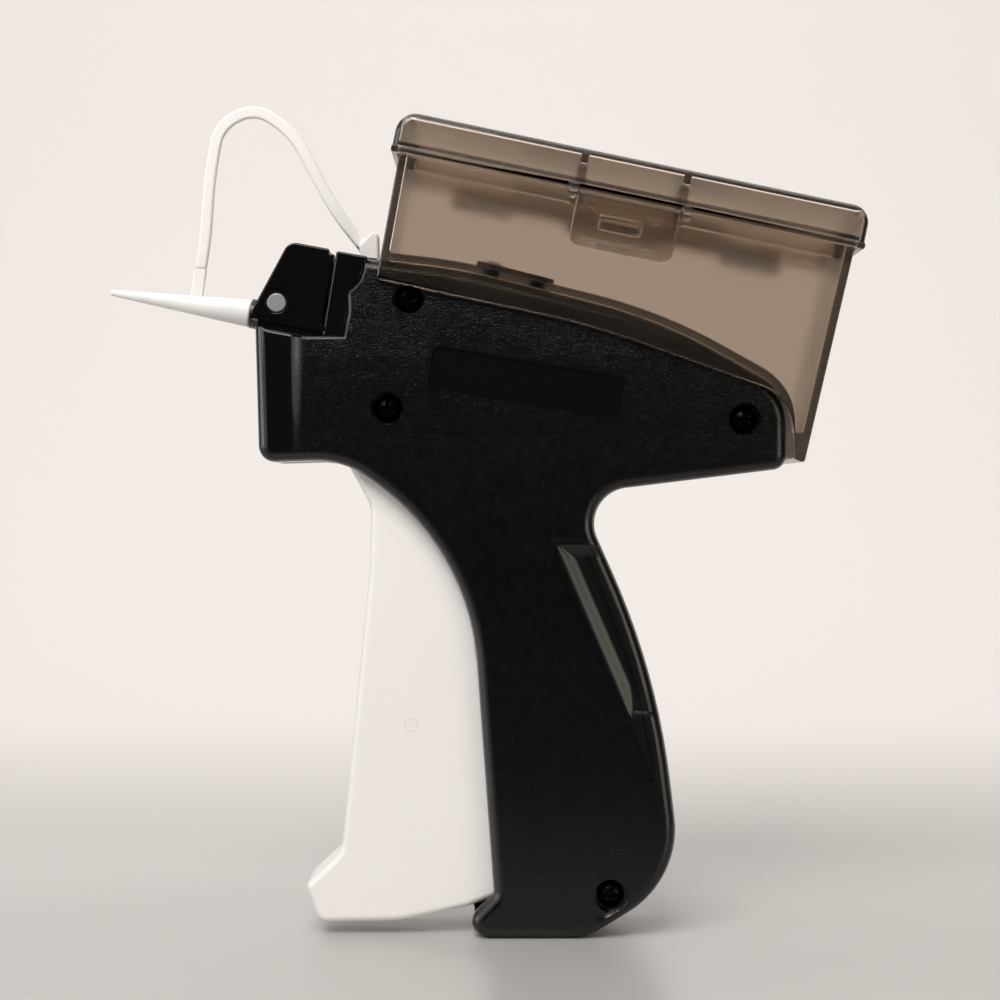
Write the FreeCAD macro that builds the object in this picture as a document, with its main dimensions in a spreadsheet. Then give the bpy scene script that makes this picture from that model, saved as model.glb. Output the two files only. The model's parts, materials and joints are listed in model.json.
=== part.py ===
import FreeCAD, Part
import math
import os
import re

from FreeCAD import Placement, Rotation, Vector

# Garment tag attacher: a pistol-grip tool that shoots plastic tag fasteners through a hollow needle.
# Frame: +Z up, -X is where the needle points, -Y is the near side, origin in the middle of the flat
# base that the tool stands on. Millimetres and degrees.
#
# Two slanted lines carry most pieces. The barrel line is the needle's axis, with its zero at the
# front face of the head; "along" runs rearwards, "above" at right angles upwards. The lid line
# is the lower rim of the hopper's lid, with its zero at the front end.

SIZES = [
    # body
    ("shell_half", 13.0, "half thickness of the moulded body"),
    ("wall", 2.0, "wall of the moulded body"),
    ("edge_round", 2.4, "rounding of the body's outer edges"),
    ("panel_long", 37.8, "length of the blank oblong recess"),
    ("panel_high", 8.1, "height of the blank oblong recess"),
    ("panel_deep", 0.5, "depth of the blank oblong recess"),
    ("palm_deep", 1.1, "depth of the polished palm recess"),
    # clearances
    ("running_gap", 0.05, "radial clearance of a shaft in its hole"),
    ("swing_gap", 0.3, "clearance beside a moving piece"),
    ("fit_gap", 0.02, "clearance of a seated pin or screw"),
    # barrel line
    ("barrel_tilt", 8.5, "slope of the needle's axis"),
    ("barrel_x", -57.3, "front face of the head on the axis"),
    ("barrel_z", 122.34, "height of the axis at the front face"),
    ("gate_half", 12.2, "half width of the two head blocks"),
    ("seat_half", 12.5, "half width of the seat plate under the gate"),
    ("seat_thick", 0.9, "thickness of the seat plate"),
    ("seam_gap", 0.25, "gap between the gate with its seat and the feed block"),
    ("chute_half", 1.0, "half width of the fastener channel"),
    ("chute_long", 8.0, "length of the fastener channel"),
    ("exit_half", 2.3, "half width of the exit under the nose"),
    # needle
    ("needle_out", 0.7, "outer radius of the needle"),
    ("needle_bore", 0.45, "inner radius of the needle"),
    ("needle_reach", 22.5, "how far the needle stands out of the head"),
    ("needle_root", 3.0, "how deep the needle is seated"),
    ("hub_radius", 3.0, "radius of the needle base inside the head"),
    ("hub_long", 7.4, "length of the needle base inside the head"),
    ("flange_radius", 2.95, "collar of the needle base"),
    ("flange_thick", 0.9, "thickness of the collar"),
    ("stub_radius", 1.7, "spigot that the cap sits on"),
    ("stub_long", 5.1, "length of the spigot"),
    # cap and its tether
    ("cap_long", 28.4, "length of the needle cap"),
    ("cap_base", 2.8, "radius of the cap at its mouth"),
    ("cap_tip", 0.6, "radius of the cap at its tip"),
    ("strap_wide", 2.4, "width of the tether strap"),
    ("strap_thick", 1.6, "thickness of the tether strap"),
    ("strap_root_along", -12.27, "place of the strap's root on the cap"),
    ("strap_root_above", 7.33, "height of the strap's root over the needle axis"),
    # needle lock pin
    ("lock_radius", 1.83, "radius of the steel lock pin"),
    ("lock_neck", 1.0, "radius of the pin's waist"),
    ("lock_along", 5.22, "place of the lock pin along the barrel"),
    ("lock_above", 1.95, "height of the lock pin over the needle axis"),
    ("lock_proud", 0.3, "how far the pin's end stands out of the gate"),
    # screws
    ("screw_head", 2.7, "radius of a screw head"),
    ("head_high", 1.9, "height of a screw head"),
    ("screw_shank", 1.4, "radius of a screw's shank"),
    ("screw_reach", 6.5, "how far a screw enters the far shell"),
    ("recess_radius", 3.2, "radius of a screw recess"),
    ("recess_deep", 3.0, "depth of a screw recess"),
    ("boss_radius", 3.2, "radius of a screw boss"),
    # trigger
    ("trigger_x", -30.4, "trigger pivot"),
    ("trigger_z", 103.0, "trigger pivot height"),
    ("trigger_half", 8.6, "half width of the trigger"),
    ("trigger_wall", 2.0, "wall of the trigger"),
    ("trigger_hub", 5.2, "radius of the trigger's hub"),
    ("trigger_throw", 15.0, "swing of the trigger"),
    ("drive_x", -5.5, "drive pin"),
    ("drive_z", 45.5, "drive pin height"),
    ("pin_radius", 1.5, "radius of the steel pins"),
    # drive lever
    ("lever_x", 2.0, "lever pivot"),
    ("lever_z", 65.5, "lever pivot height"),
    ("lever_half", 2.2, "half thickness of the lever"),
    ("lever_rim", 2.1, "material around the lever's slots"),
    ("arm_half", 3.1, "half width of the lever's arms"),
    ("eye_radius", 1.1, "radius of the spring's eye in the lever's ear"),
    ("eye_out", 1.8, "distance of the eye behind the lever's arm"),
    ("post_radius", 2.8, "radius of the lever's posts in the shells"),
    ("post_gap", 3.0, "half distance between the posts' ends"),
    # slide and rod
    ("slide_rest", 76.9, "slide pin along the barrel at rest"),
    ("slide_drop", 8.0, "slide pin below the needle axis"),
    ("slide_travel", 34.0, "travel of the slide"),
    ("slide_half", 10.6, "half width of the slide"),
    ("slide_high", 3.0, "half height of the slide"),
    ("cheek_half", 5.7, "outer face of the slide's cheeks"),
    ("rail_thick", 1.5, "thickness of a guide rail"),
    ("rod_radius", 0.38, "radius of the ejector rod"),
    ("sleeve_radius", 1.0, "radius of the rod's thick end"),
    # feed
    ("wheel_y", 5.6, "feed shaft beside the needle axis"),
    ("wheel_above", 4.5, "feed shaft over the needle axis"),
    ("wheel_radius", 4.8, "tip radius of the feed wheel"),
    ("shaft_radius", 1.0, "radius of the feed shaft and the index pin"),
    ("index_along", 28.5, "index lever pivot"),
    ("index_drop", 7.0, "index lever pivot below the needle axis"),
    # hopper
    ("hopper_half", 14.6, "half width of the hopper"),
    ("hopper_wall", 1.4, "wall of the hopper"),
    ("hopper_floor", 1.2, "floor of the hopper"),
    ("clamp_thick", 1.2, "thickness of the clamp plate"),
    # lid line
    ("lid_tilt", 11.77, "slope of the lid"),
    ("lid_x", -29.55, "front end of the lid's lower rim"),
    ("lid_z", 152.35, "height of that end"),
    ("lid_long", 93.0, "length of the lid"),
    ("lid_half", 16.0, "half width of the lid"),
    ("lid_high", 8.3, "height of the lid"),
    ("lid_wall", 1.2, "wall of the lid"),
    ("lid_over", 1.6, "how far the lid stands out past the box's ends"),
    ("rim_over", 1.0, "how far the box reaches up into the lid"),
    ("lip_half", 12.4, "half width of the lid's lip"),
    ("lip_deep", 2.3, "how far the lid's lip goes below its rim"),
    ("hinge_out", 2.4, "hinge axis outside the lid"),
    ("hinge_drop", 1.0, "hinge axis below the lid's rim"),
    ("knuckle", 1.9, "radius of the hinge knuckles"),
    ("hinge_pin", 0.9, "radius of the hinge pin"),
    ("latch_near", 36.9, "front edge of the latch along the lid"),
    ("latch_wide", 20.2, "width of the latch"),
    ("latch_high", 9.7, "height of the latch below its pivot"),
    ("latch_thick", 1.2, "thickness of the latch"),
    ("latch_drop", 0.85, "latch pivot below the lid's rim"),
    ("latch_out", 0.8, "latch pivot outside the lid's wall"),
]

doc = FreeCAD.newDocument("TagAttacher")
sheet = doc.addObject("Spreadsheet::Sheet", "Sizes")
for row, (alias, value, meaning) in enumerate(SIZES, start=1):
    sheet.set(f"A{row}", meaning)
    sheet.set(f"B{row}", str(value))
    sheet.setAlias(f"B{row}", alias)
doc.recompute()

ALIASES = {alias for alias, value, meaning in SIZES}
pieces = []


def bound(text):
    """An expression in sheet names, with the sheet's own name put in front of each."""
    def full_name(match):
        word = match.group()
        return f"Sizes.{word}" if word in ALIASES else word

    return re.sub(r"[a-z_]+", full_name, str(text))


def size(text):
    """The value of an expression in sheet names."""
    return float(sheet.evalExpression(bound(text)))


def check(piece):
    """Stop if an object of the document failed."""
    doc.recompute()
    if "Invalid" in piece.State or "Error" in piece.State:
        raise RuntimeError(f"{piece.Label} failed")


# ---------------------------------------------------------------- outlines

def outline(points):
    """A closed outline through (x, y, radius) corners, each rounded by its own radius."""
    corners = [Vector(x, y, 0) for x, y, radius in points]
    count = len(points)
    arcs = []
    for i, (x, y, radius) in enumerate(points):
        here = corners[i]
        back = (corners[i - 1] - here).normalize()
        ahead = (corners[(i + 1) % count] - here).normalize()
        half = back.getAngle(ahead) / 2
        if radius == 0:
            arcs.append((here, None, here))
            continue
        reach = radius / math.tan(half)
        middle = (back + ahead).normalize()
        nearest = here + middle * (radius / math.sin(half) - radius)
        arcs.append((here + back * reach, nearest, here + ahead * reach))
    curves = []
    for i, (start, nearest, stop) in enumerate(arcs):
        if nearest is not None:
            curves.append(Part.Arc(start, nearest, stop))
        following = arcs[(i + 1) % count][0]
        if stop.distanceToPoint(following) > 1e-6:
            curves.append(Part.LineSegment(stop, following))
    return curves


def parallel(start, stop, distance):
    """The line through two points, moved to the left of its direction by a distance."""
    run = Vector(stop[0] - start[0], stop[1] - start[1], 0).normalize()
    dx, dy = -run.y * distance, run.x * distance
    return (start[0] + dx, start[1] + dy), (stop[0] + dx, stop[1] + dy)


def crossing(first, second):
    """Where two lines cross, each given by two points."""
    (ax, ay), (bx, by) = first
    (cx, cy), (dx, dy) = second
    rise = (bx - ax) * (dy - cy) - (by - ay) * (dx - cx)
    share = ((cx - ax) * (dy - cy) - (cy - ay) * (dx - cx)) / rise
    return ax + share * (bx - ax), ay + share * (by - ay)


def grown(curves, distance):
    """The outline moved outwards by a distance, or inwards by a negative one."""
    edges = Part.__sortEdges__([curve.toShape() for curve in curves])
    moved = Part.Wire(edges).makeOffset2D(distance)
    result = []
    for edge in moved.Edges:
        first, last = edge.Vertexes[0].Point, edge.Vertexes[-1].Point
        if isinstance(edge.Curve, Part.Circle):
            middle = edge.valueAt((edge.FirstParameter + edge.LastParameter) / 2)
            result.append(Part.Arc(first, middle, last))
        else:
            result.append(Part.LineSegment(first, last))
    return result


def shifted(curves, dx, dy):
    """A copy of an outline, moved."""
    result = [curve.copy() for curve in curves]
    for curve in result:
        curve.translate(Vector(dx, dy, 0))
    return result


def rectangle(x_low, x_high, y_low, y_high, radius=0):
    """A rectangle from four expressions."""
    left, right, low, high = size(x_low), size(x_high), size(y_low), size(y_high)
    return outline([(left, low, radius), (right, low, radius), (right, high, radius), (left, high, radius)])


def hull(points):
    """The convex outline around points, counter-clockwise."""
    ordered = sorted(set(points))

    def half(sequence):
        chain = []
        for point in sequence:
            while len(chain) > 1 and turn(chain[-2], chain[-1], point) <= 0:
                chain.pop()
            chain.append(point)
        return chain[:-1]

    def turn(a, b, c):
        return (b[0] - a[0]) * (c[1] - a[1]) - (b[1] - a[1]) * (c[0] - a[0])

    return half(ordered) + half(reversed(ordered))


def around(points, radius):
    """The outline that stays at one distance outside the hull of points."""
    sharp = outline([(x, z, 0) for x, z in hull(points)])
    return grown(sharp, radius)


# ---------------------------------------------------------------- pieces

class Piece:
    """One sub-part: a PartDesign body whose sketches lie in its own origin planes.

    The side plane looks along Y, the plan plane along Z and the end plane along X. A pad or cut
    runs between two expressions that are measured along that axis.
    """

    PLANES = {"side": ("XZ_Plane", -1), "plan": ("XY_Plane", 1), "end": ("YZ_Plane", 1)}

    def __init__(self, name):
        self.body = doc.addObject("PartDesign::Body", name)
        self.body.Label = name
        self.count = 0
        pieces.append(self.body)

    def sketch(self, curves, plane, level="0"):
        """A sketch with plain curves and with discs, which are (x, y, radius) expressions."""
        role, normal = self.PLANES[plane]
        self.count += 1
        sketch = self.body.newObject("Sketcher::SketchObject", f"{self.body.Name}_sketch{self.count}")
        support = next(item for item in self.body.Origin.OriginFeatures if item.Role == role)
        sketch.AttachmentSupport = (support, [""])
        sketch.MapMode = "FlatFace"
        sketch.setExpression("AttachmentOffset.Base.z", bound(f"{normal} * ({level})"))
        for curve in curves:
            if isinstance(curve, tuple):
                self.add_disc(sketch, curve)
            else:
                sketch.addGeometry(curve, False)
        return sketch

    @staticmethod
    def add_disc(sketch, disc):
        """A circle whose centre and radius stay bound to the sheet."""
        x, y, radius = disc
        circle = Part.Circle(Vector(size(x), size(y), 0), Vector(0, 0, 1), size(radius))
        index = sketch.addGeometry(circle, False)
        for kind, text in (("DistanceX", x), ("DistanceY", y)):
            number = sketch.addConstraint(sketch_constraint(kind, -1, 1, index, 3, size(text)))
            sketch.setExpression(f"Constraints[{number}]", bound(text))
        number = sketch.addConstraint(sketch_constraint("Radius", index, size(radius)))
        sketch.setExpression(f"Constraints[{number}]", bound(radius))

    def feature(self, kind, curves, plane, start, stop, default_sign):
        forwards = size(stop) > size(start)
        feature_sketch = self.sketch(curves, plane, start)
        feature = self.body.newObject(f"PartDesign::{kind}", f"{self.body.Name}_{kind}{self.count}")
        feature.Profile = feature_sketch
        feature.setExpression("Length", bound(f"abs(({stop}) - ({start}))"))
        feature.Reversed = forwards != (default_sign > 0)
        check(feature)
        return feature

    def pad(self, curves, start, stop, plane="side"):
        """Add material between two levels."""
        return self.feature("Pad", curves, plane, start, stop, self.PLANES[plane][1])

    def cut(self, curves, start, stop, plane="side"):
        """Take material away between two levels, and stop if nothing was taken."""
        before = self.body.Shape.Volume
        feature = self.feature("Pocket", curves, plane, start, stop, -self.PLANES[plane][1])
        if feature.Shape.Volume > before - 1e-4:
            raise RuntimeError(f"{feature.Label} cuts nothing")
        return feature

    def turn(self, curves, axis="H_Axis", plane="side", kind="Revolution"):
        """Turn a half section about an axis of its own sketch."""
        turned = self.sketch(curves, plane)
        feature = self.body.newObject(f"PartDesign::{kind}", f"{self.body.Name}_{kind}{self.count}")
        feature.Profile = turned
        feature.ReferenceAxis = (turned, [axis])
        feature.Angle = 360
        check(feature)
        return feature

    def round_edges(self, radius, chosen):
        """Round the edges of the last feature that a test chooses."""
        base = self.body.Tip
        names = [f"Edge{i}" for i, edge in enumerate(base.Shape.Edges, start=1) if chosen(edge)]
        fillet = self.body.newObject("PartDesign::Fillet", f"{self.body.Name}_Fillet{self.count}")
        fillet.Base = (base, names)
        fillet.setExpression("Radius", bound(radius))
        check(fillet)
        return fillet


def sketch_constraint(*arguments):
    """A sketch constraint; the sketcher's own module is loaded with the first sketch."""
    import Sketcher
    return Sketcher.Constraint(*arguments)


def place_on(item, line, along="0", across="0", above="0"):
    """Set an item on the barrel line or the lid line, turned with it."""
    cosine, sine = f"cos({line}_tilt * 1 deg)", f"sin({line}_tilt * 1 deg)"
    item.Placement = Placement(Vector(0, 0, 0), Rotation(Vector(0, 1, 0), size(f"{line}_tilt")))
    item.setExpression("Placement.Base.x", bound(f"{line}_x + ({along}) * {cosine} + ({above}) * {sine}"))
    item.setExpression("Placement.Base.y", bound(across))
    item.setExpression("Placement.Base.z", bound(f"{line}_z - ({along}) * {sine} + ({above}) * {cosine}"))
    item.setExpression("Placement.Rotation.Angle", bound(f"{line}_tilt"))


def point_on(line, along, above):
    """A point of the barrel line or the lid line in the tool's own frame, as (x, z)."""
    tilt = math.radians(size(f"{line}_tilt"))
    x = size(f"{line}_x") + along * math.cos(tilt) + above * math.sin(tilt)
    z = size(f"{line}_z") - along * math.sin(tilt) + above * math.cos(tilt)
    return x, z


def swung(point, pivot, angle):
    """A point turned in the side view so that what hangs below the pivot goes rearwards."""
    turn = math.radians(angle)
    x, z = point[0] - pivot[0], point[1] - pivot[1]
    return (pivot[0] + x * math.cos(turn) - z * math.sin(turn),
            pivot[1] + x * math.sin(turn) + z * math.cos(turn))


def plain(name, shape):
    """A sub-part whose shape is built by functions."""
    feature = doc.addObject("Part::Feature", name)
    feature.Label = name
    feature.Shape = shape
    pieces.append(feature)
    return feature


def cross_pin(name, radius, half, x, z):
    """A steel pin across the tool."""
    pin = doc.addObject("Part::Cylinder", name)
    pin.Label = name
    pin.Placement = Placement(Vector(0, 0, 0), Rotation(Vector(1, 0, 0), -90))
    pin.setExpression("Radius", bound(radius))
    pin.setExpression("Height", bound(f"2 * ({half})"))
    pin.setExpression("Placement.Base.x", bound(x))
    pin.setExpression("Placement.Base.y", bound(f"-({half})"))
    pin.setExpression("Placement.Base.z", bound(z))
    pieces.append(pin)
    return pin


# ---------------------------------------------------------------- body shells

SCREWS = {
    "pivot": ("trigger_x", "trigger_z"),
    "top": ("-26.3", "124.5"),
    "rear": ("38.95", "100.9"),
    "foot": ("13.0", "8.5"),
}


TOP_LINE = [
    (-56.6, 134.8, 3.0),            # top of the nose
    (-16.0, 129.9, 100.0),
    (22.0, 120.4, 100.0),           # top
    (47.3, 106.4, 11.0),            # rear, high
    (47.3, 91.4, 3.0),              # rear, low
]


def body_outline():
    """Side view of the body, with the head's notch still filled in."""
    return outline([
        TOP_LINE[0],
        (-55.4, 92.5, 3.2),         # chin
        (-38.9, 93.05, 18.0),       # where the trigger comes out
        (-14.6, 75.4, 47.0),        # front of the neck
        (-9.7, 8.6, 1.5),           # above the toe
        (-15.0, 3.2, 2.7),          # toe
        (-11.9, 0.0, 3.0),
        (8.2, 0.0, 10.0),           # base
        (27.0, 11.3, 19.0),         # heel
        (22.05, 51.8, 140.0),       # back of the grip
        (6.6, 86.4, 7.0),           # web of the thumb
        TOP_LINE[4], TOP_LINE[3], TOP_LINE[2], TOP_LINE[1],
    ])


def above_top(distance):
    """Corners of the body's top line, front to rear, moved outwards by a distance."""
    corners = []
    for before, here, after in zip(TOP_LINE, TOP_LINE[1:], TOP_LINE[2:]):
        first = parallel(before, here, distance)
        second = parallel(here, after, distance)
        x, z = crossing(first, second)
        corners.append((x, z, here[2] + distance))
    return corners


def head_notch(gap):
    """Side view of the notch that the head blocks stand in, its rear wall moved by a gap."""
    return outline([
        (-60.0, 119.7, 0),
        (-46.3, 117.1, 0),
        (-39.0 + gap, 117.1, 0),
        (-38.0 + gap, 121.5, 2.0),
        (-38.1 + gap, 125.6, 1.6),
        (-35.6 + gap, 128.1, 1.6),
        (-34.1 + gap, 132.5, 0),
        (-33.4 + gap, 139.0, 0),
        (-60.0, 139.0, 0),
    ])


def trigger_mouth():
    """Side view of the slot that the trigger swings in, through the front wall of the grip."""
    floor = size("wall")
    return outline([
        (-39.6, 88.0, 0), (-39.6, 97.0, 2.0), (-31.0, 95.5, 4.0), (-22.0, 86.0, 8.0),
        (-13.5, 74.0, 8.0), (-9.5, 62.0, 8.0), (-7.5, 40.0, 0), (-6.0, floor, 1.0),
        (-18.0, floor, 0), (-20.0, 60.0, 0), (-32.0, 84.0, 0),
    ])


def palm_recess():
    """Side view of the polished recess behind the grip."""
    return outline([
        (1.6, 77.2, 2.0), (3.0, 70.0, 4.0), (16.5, 42.0, 60.0), (21.4, 26.0, 0.8),
        (21.5, 34.0, 20.0), (17.6, 51.0, 60.0), (7.9, 77.0, 3.0),
    ])


def shell(name, side):
    """One moulded half of the body; side is -1 for the near half and +1 for the far half."""
    piece = Piece(name)
    face = f"{side} * shell_half"
    inside = f"{side} * (shell_half - wall)"
    root = f"{side} * (shell_half - wall * 3 / 4)"
    piece.pad(body_outline(), "0", face)
    level = side * size("shell_half")
    piece.round_edges("edge_round", lambda edge: all(abs(v.Y - level) < 1e-6 for v in edge.Vertexes))
    piece.cut(grown(body_outline(), -size("wall")), "0", inside)
    piece.cut(head_notch(0.05), "0", face)
    piece.cut(trigger_mouth(), "0", f"{side} * (trigger_half + swing_gap)")
    exit_slot = rectangle("-52.5", "-43.5", "90", "96")
    piece.cut(exit_slot, "0", f"{side} * exit_half")
    peg_slot = rectangle("-33.95", "-32.55", "128", "134")
    piece.cut(peg_slot, "0", f"{side} * (strap_thick + fit_gap)")

    recess_floor = f"{side} * (shell_half - recess_deep - 1.2)"
    for x, z in SCREWS.values():
        piece.pad([(x, z, "boss_radius")], "0", root)
        piece.pad([(x, z, "recess_radius + 1.2")], recess_floor, root)
    piece.pad([("lever_x", "lever_z", "post_radius")], f"{side} * post_gap", root)
    piece.cut([("lever_x", "lever_z", "pin_radius + fit_gap")], f"{side} * post_gap", f"{side} * 9.05")
    for low in ("slide_high + swing_gap", "-(slide_high + swing_gap) - rail_thick"):
        low_value = size(low)
        corners = [(32.5, low_value), (86.5, low_value),
                   (86.5, low_value + size("rail_thick")), (32.5, low_value + size("rail_thick"))]
        rail = outline([point_on("barrel", along, above) + (0,) for along, above in corners])
        piece.pad(rail, f"{side} * (shell_half - 2 * wall - 0.1)", root)
    if side < 0:
        for x, z in SCREWS.values():
            piece.cut([(x, z, "recess_radius")], face, f"{side} * (shell_half - recess_deep)")
            piece.cut([(x, z, "screw_shank + 0.1")], f"{side} * (shell_half - recess_deep)", "0")
    else:
        for x, z in SCREWS.values():
            piece.cut([(x, z, "screw_shank + fit_gap")], "0", "screw_reach + 1")
        index_x, index_z = point_on("barrel", size("index_along"), -size("index_drop"))
        piece.pad([(str(index_x), str(index_z), "2.2")], "9.5", root)
        piece.cut([(str(index_x), str(index_z), "shaft_radius + fit_gap")], "9.5", "10.7")

    panel = rectangle("-panel_long / 2", "panel_long / 2", "-panel_high / 2", "panel_high / 2", 1.6)
    for curve in panel:
        curve.rotate(Placement(Vector(0, 0, 0), Rotation(Vector(0, 0, 1), -9.5)))
    piece.cut(shifted(panel, -3.3, 108.0), face, f"{side} * (shell_half - panel_deep)")
    piece.cut(palm_recess(), face, f"{side} * (shell_half - palm_deep)")
    for across, rearwards in CLAMP_SCREWS:
        if across * side > 0:
            clamp_hole(piece, across, rearwards, "screw_shank + fit_gap")
    return piece


CLAMP_X = -6.0          # middle of the clamp plate
CLAMP_SCREWS = ((-5.0, -4.6), (5.0, 4.6))       # across, and rearwards along the slope


def clamp_slope():
    """Slope of the body's top under the clamp plate, in degrees."""
    front, rear = TOP_LINE[1], TOP_LINE[2]
    return math.degrees(math.atan2(front[1] - rear[1], rear[0] - front[0]))


def clamp_axis(across, rearwards):
    """Foot on the body's top and upright direction of a clamp screw."""
    slope = math.radians(clamp_slope())
    up = Vector(math.sin(slope), 0, math.cos(slope))
    down_slope = Vector(math.cos(slope), 0, -math.sin(slope))
    front = TOP_LINE[1]
    foot = Vector(CLAMP_X, across, front[1] - math.tan(slope) * (CLAMP_X - front[0]))
    return foot + down_slope * rearwards, up


def clamp_hole(piece, across, rearwards, radius):
    """A hole on a clamp screw's axis, in a body that may stand on a slanted line."""
    foot, up = clamp_axis(across, rearwards)
    drill = Placement(foot + up * 3, Rotation(Vector(0, 1, 0), clamp_slope()))
    sketch = piece.sketch([], "plan")
    sketch.setExpression("AttachmentOffset.Base.z", None)
    sketch.AttachmentOffset = piece.body.Placement.inverse().multiply(drill)
    piece.add_disc(sketch, ("0", "0", radius))
    before = piece.body.Shape.Volume
    pocket = piece.body.newObject("PartDesign::Pocket", f"{piece.body.Name}_Pocket{piece.count}")
    pocket.Profile = sketch
    pocket.Length = 9.0
    check(pocket)
    if pocket.Shape.Volume > before - 1e-4:
        raise RuntimeError(f"{pocket.Label} cuts nothing")


# ---------------------------------------------------------------- head

def barrel_cylinder(radius, start, stop, y=0.0, above=0.0):
    """A round bar along the barrel line, in the tool's own frame."""
    tilt = math.radians(size("barrel_tilt"))
    x, z = point_on("barrel", start, above)
    direction = Vector(math.cos(tilt), 0, -math.sin(tilt))
    return Part.makeCylinder(radius, stop - start, Vector(x, y, z), direction)


def block(curves, half):
    """A side-view outline made as thick as twice a half width."""
    edges = Part.__sortEdges__([curve.toShape() for curve in curves])
    face = Part.Face(Part.Wire(edges))
    face.rotate(Vector(0, 0, 0), Vector(1, 0, 0), 90)
    face.translate(Vector(0, half, 0))
    return face.extrude(Vector(0, -2 * half, 0))


def head_bores():
    """Everything that runs through the head blocks: hub, rod, shaft, channel and lock pin."""
    gap = size("running_gap")
    hub = barrel_cylinder(size("hub_radius") + gap, -2.0, size("hub_long") + gap)
    shaft = barrel_cylinder(size("shaft_radius") + gap, 6.9, 30.0, size("wheel_y"), size("wheel_above"))
    rod = barrel_cylinder(size("rod_radius") + 0.12, 4.0, 40.0)
    wheel = barrel_cylinder(size("wheel_radius") + size("swing_gap"), 8.3, 16.0,
                            size("wheel_y"), size("wheel_above"))
    lock_x, lock_z = point_on("barrel", size("lock_along"), size("lock_above"))
    far_end = size("gate_half") - 1.2
    lock = Part.makeCylinder(size("lock_radius") + gap, size("gate_half") + 1 + far_end,
                             Vector(lock_x, -size("gate_half") - 1, lock_z), Vector(0, 1, 0))
    return hub, shaft, rod, wheel, lock


def gate_channel():
    """The upright channel that the fasteners hang in, open to the gap behind the gate."""
    half = size("chute_half")
    x, z = point_on("barrel", 15.6, 0)
    channel = Part.makeBox(size("chute_long"), 2 * half, 40, Vector(-size("chute_long"), -half, -20))
    channel.rotate(Vector(0, 0, 0), Vector(0, 1, 0), size("barrel_tilt"))
    channel.translate(Vector(x, 0, z))
    return channel


SEAM = ((-42.95, 117.12), (-40.25, 133.6))       # front face of the feed block, bottom and top


def seam_at(z):
    """Where the faces in front of the feed block stand at a height."""
    front = parallel(SEAM[0], SEAM[1], size("seam_gap"))
    return crossing(front, ((0, z), (1, z)))


def nose_gate():
    """Glossy front block of the head, over the needle's base, with a nick at the top of its rear edge."""
    side_view = outline([
        (-57.05, 121.45, 0.3), (-55.5, 124.3, 4.0), (-49.5, 135.45, 2.4), (-41.7, 134.0, 0.4),
        (-41.55, 133.1, 0), seam_at(132.9) + (0.2,), seam_at(119.0) + (0.2,),
    ])
    shape = block(side_view, size("gate_half"))
    for tool in head_bores() + (gate_channel(),):
        shape = shape.cut(tool)
    return plain("nose_gate", shape)


def gate_seat():
    """Seat plate between the gate and the nose, which holds the needle's base from below."""
    thick = size("seat_thick")
    rear = seam_at(118.93)
    plate = block(outline([
        (-57.05, 121.4, 0.2), rear + (0.2,), seam_at(rear[1] - thick) + (0.2,), (-56.9, 121.4 - thick, 0.2),
    ]), size("seat_half"))
    foot = block(outline([
        (-55.6, 120.9, 0), (-44.3, 118.9, 0), seam_at(118.5) + (0,), seam_at(117.12) + (0,),
        (-46.3, 117.12, 0), (-55.6, 118.88, 0),
    ]), size("seat_half - 0.9"))
    shape = plate.fuse(foot).removeSplitter()
    hub, shaft, rod, wheel, lock = head_bores()
    for tool in (hub, lock, rod, gate_channel()):
        shape = shape.cut(tool)
    return plain("gate_seat", shape)


def feed_block():
    """Glossy rear block of the head, with the guide bore of the ejector rod."""
    side_view = outline([
        SEAM[0] + (0,), SEAM[1] + (0.5,), (-34.1, 132.5, 0.4), (-35.6, 128.1, 1.6),
        (-38.1, 125.6, 1.6), (-38.0, 121.5, 2.0), (-39.0, 117.12, 0),
    ])
    shape = block(side_view, size("gate_half"))
    hub, shaft, rod, wheel, lock = head_bores()
    for tool in (shaft, rod, blade_blank(size("fit_gap"))):
        shape = shape.cut(tool)
    return plain("feed_block", shape)


def blade_blank(gap):
    """The knife's blade before it is ground, let into the front face of the feed block."""
    thick, wide, high = 0.5, 6.5, 7.0
    blank = Part.makeBox(thick + gap, wide + 2 * gap, high + 2 * gap, Vector(0, -7.6 - gap, 1.0 - gap))
    blank.rotate(Vector(0, 0, 0), Vector(0, 1, 0), seam_lean())
    blank.translate(Vector(SEAM[0][0], 0, SEAM[0][1]))
    return blank


def seam_lean():
    """Lean of the feed block's front face from upright, in degrees."""
    (low_x, low_z), (high_x, high_z) = SEAM
    return math.degrees(math.atan2(high_x - low_x, high_z - low_z))


def knife_blade():
    """Steel blade in the front face of the feed block, its ground edge beside the needle axis."""
    edge_y = -1.1
    bevel = Part.makeBox(2.0, 2.0, 12.0, Vector(0, 0, -1))
    bevel.rotate(Vector(0, 0, 0), Vector(0, 0, 1), 45)
    bevel.translate(Vector(0, edge_y - 0.45, 0))
    bevel.rotate(Vector(0, 0, 0), Vector(0, 1, 0), seam_lean())
    bevel.translate(Vector(SEAM[0][0], 0, SEAM[0][1]))
    return plain("knife_blade", blade_blank(0).cut(bevel))


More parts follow.
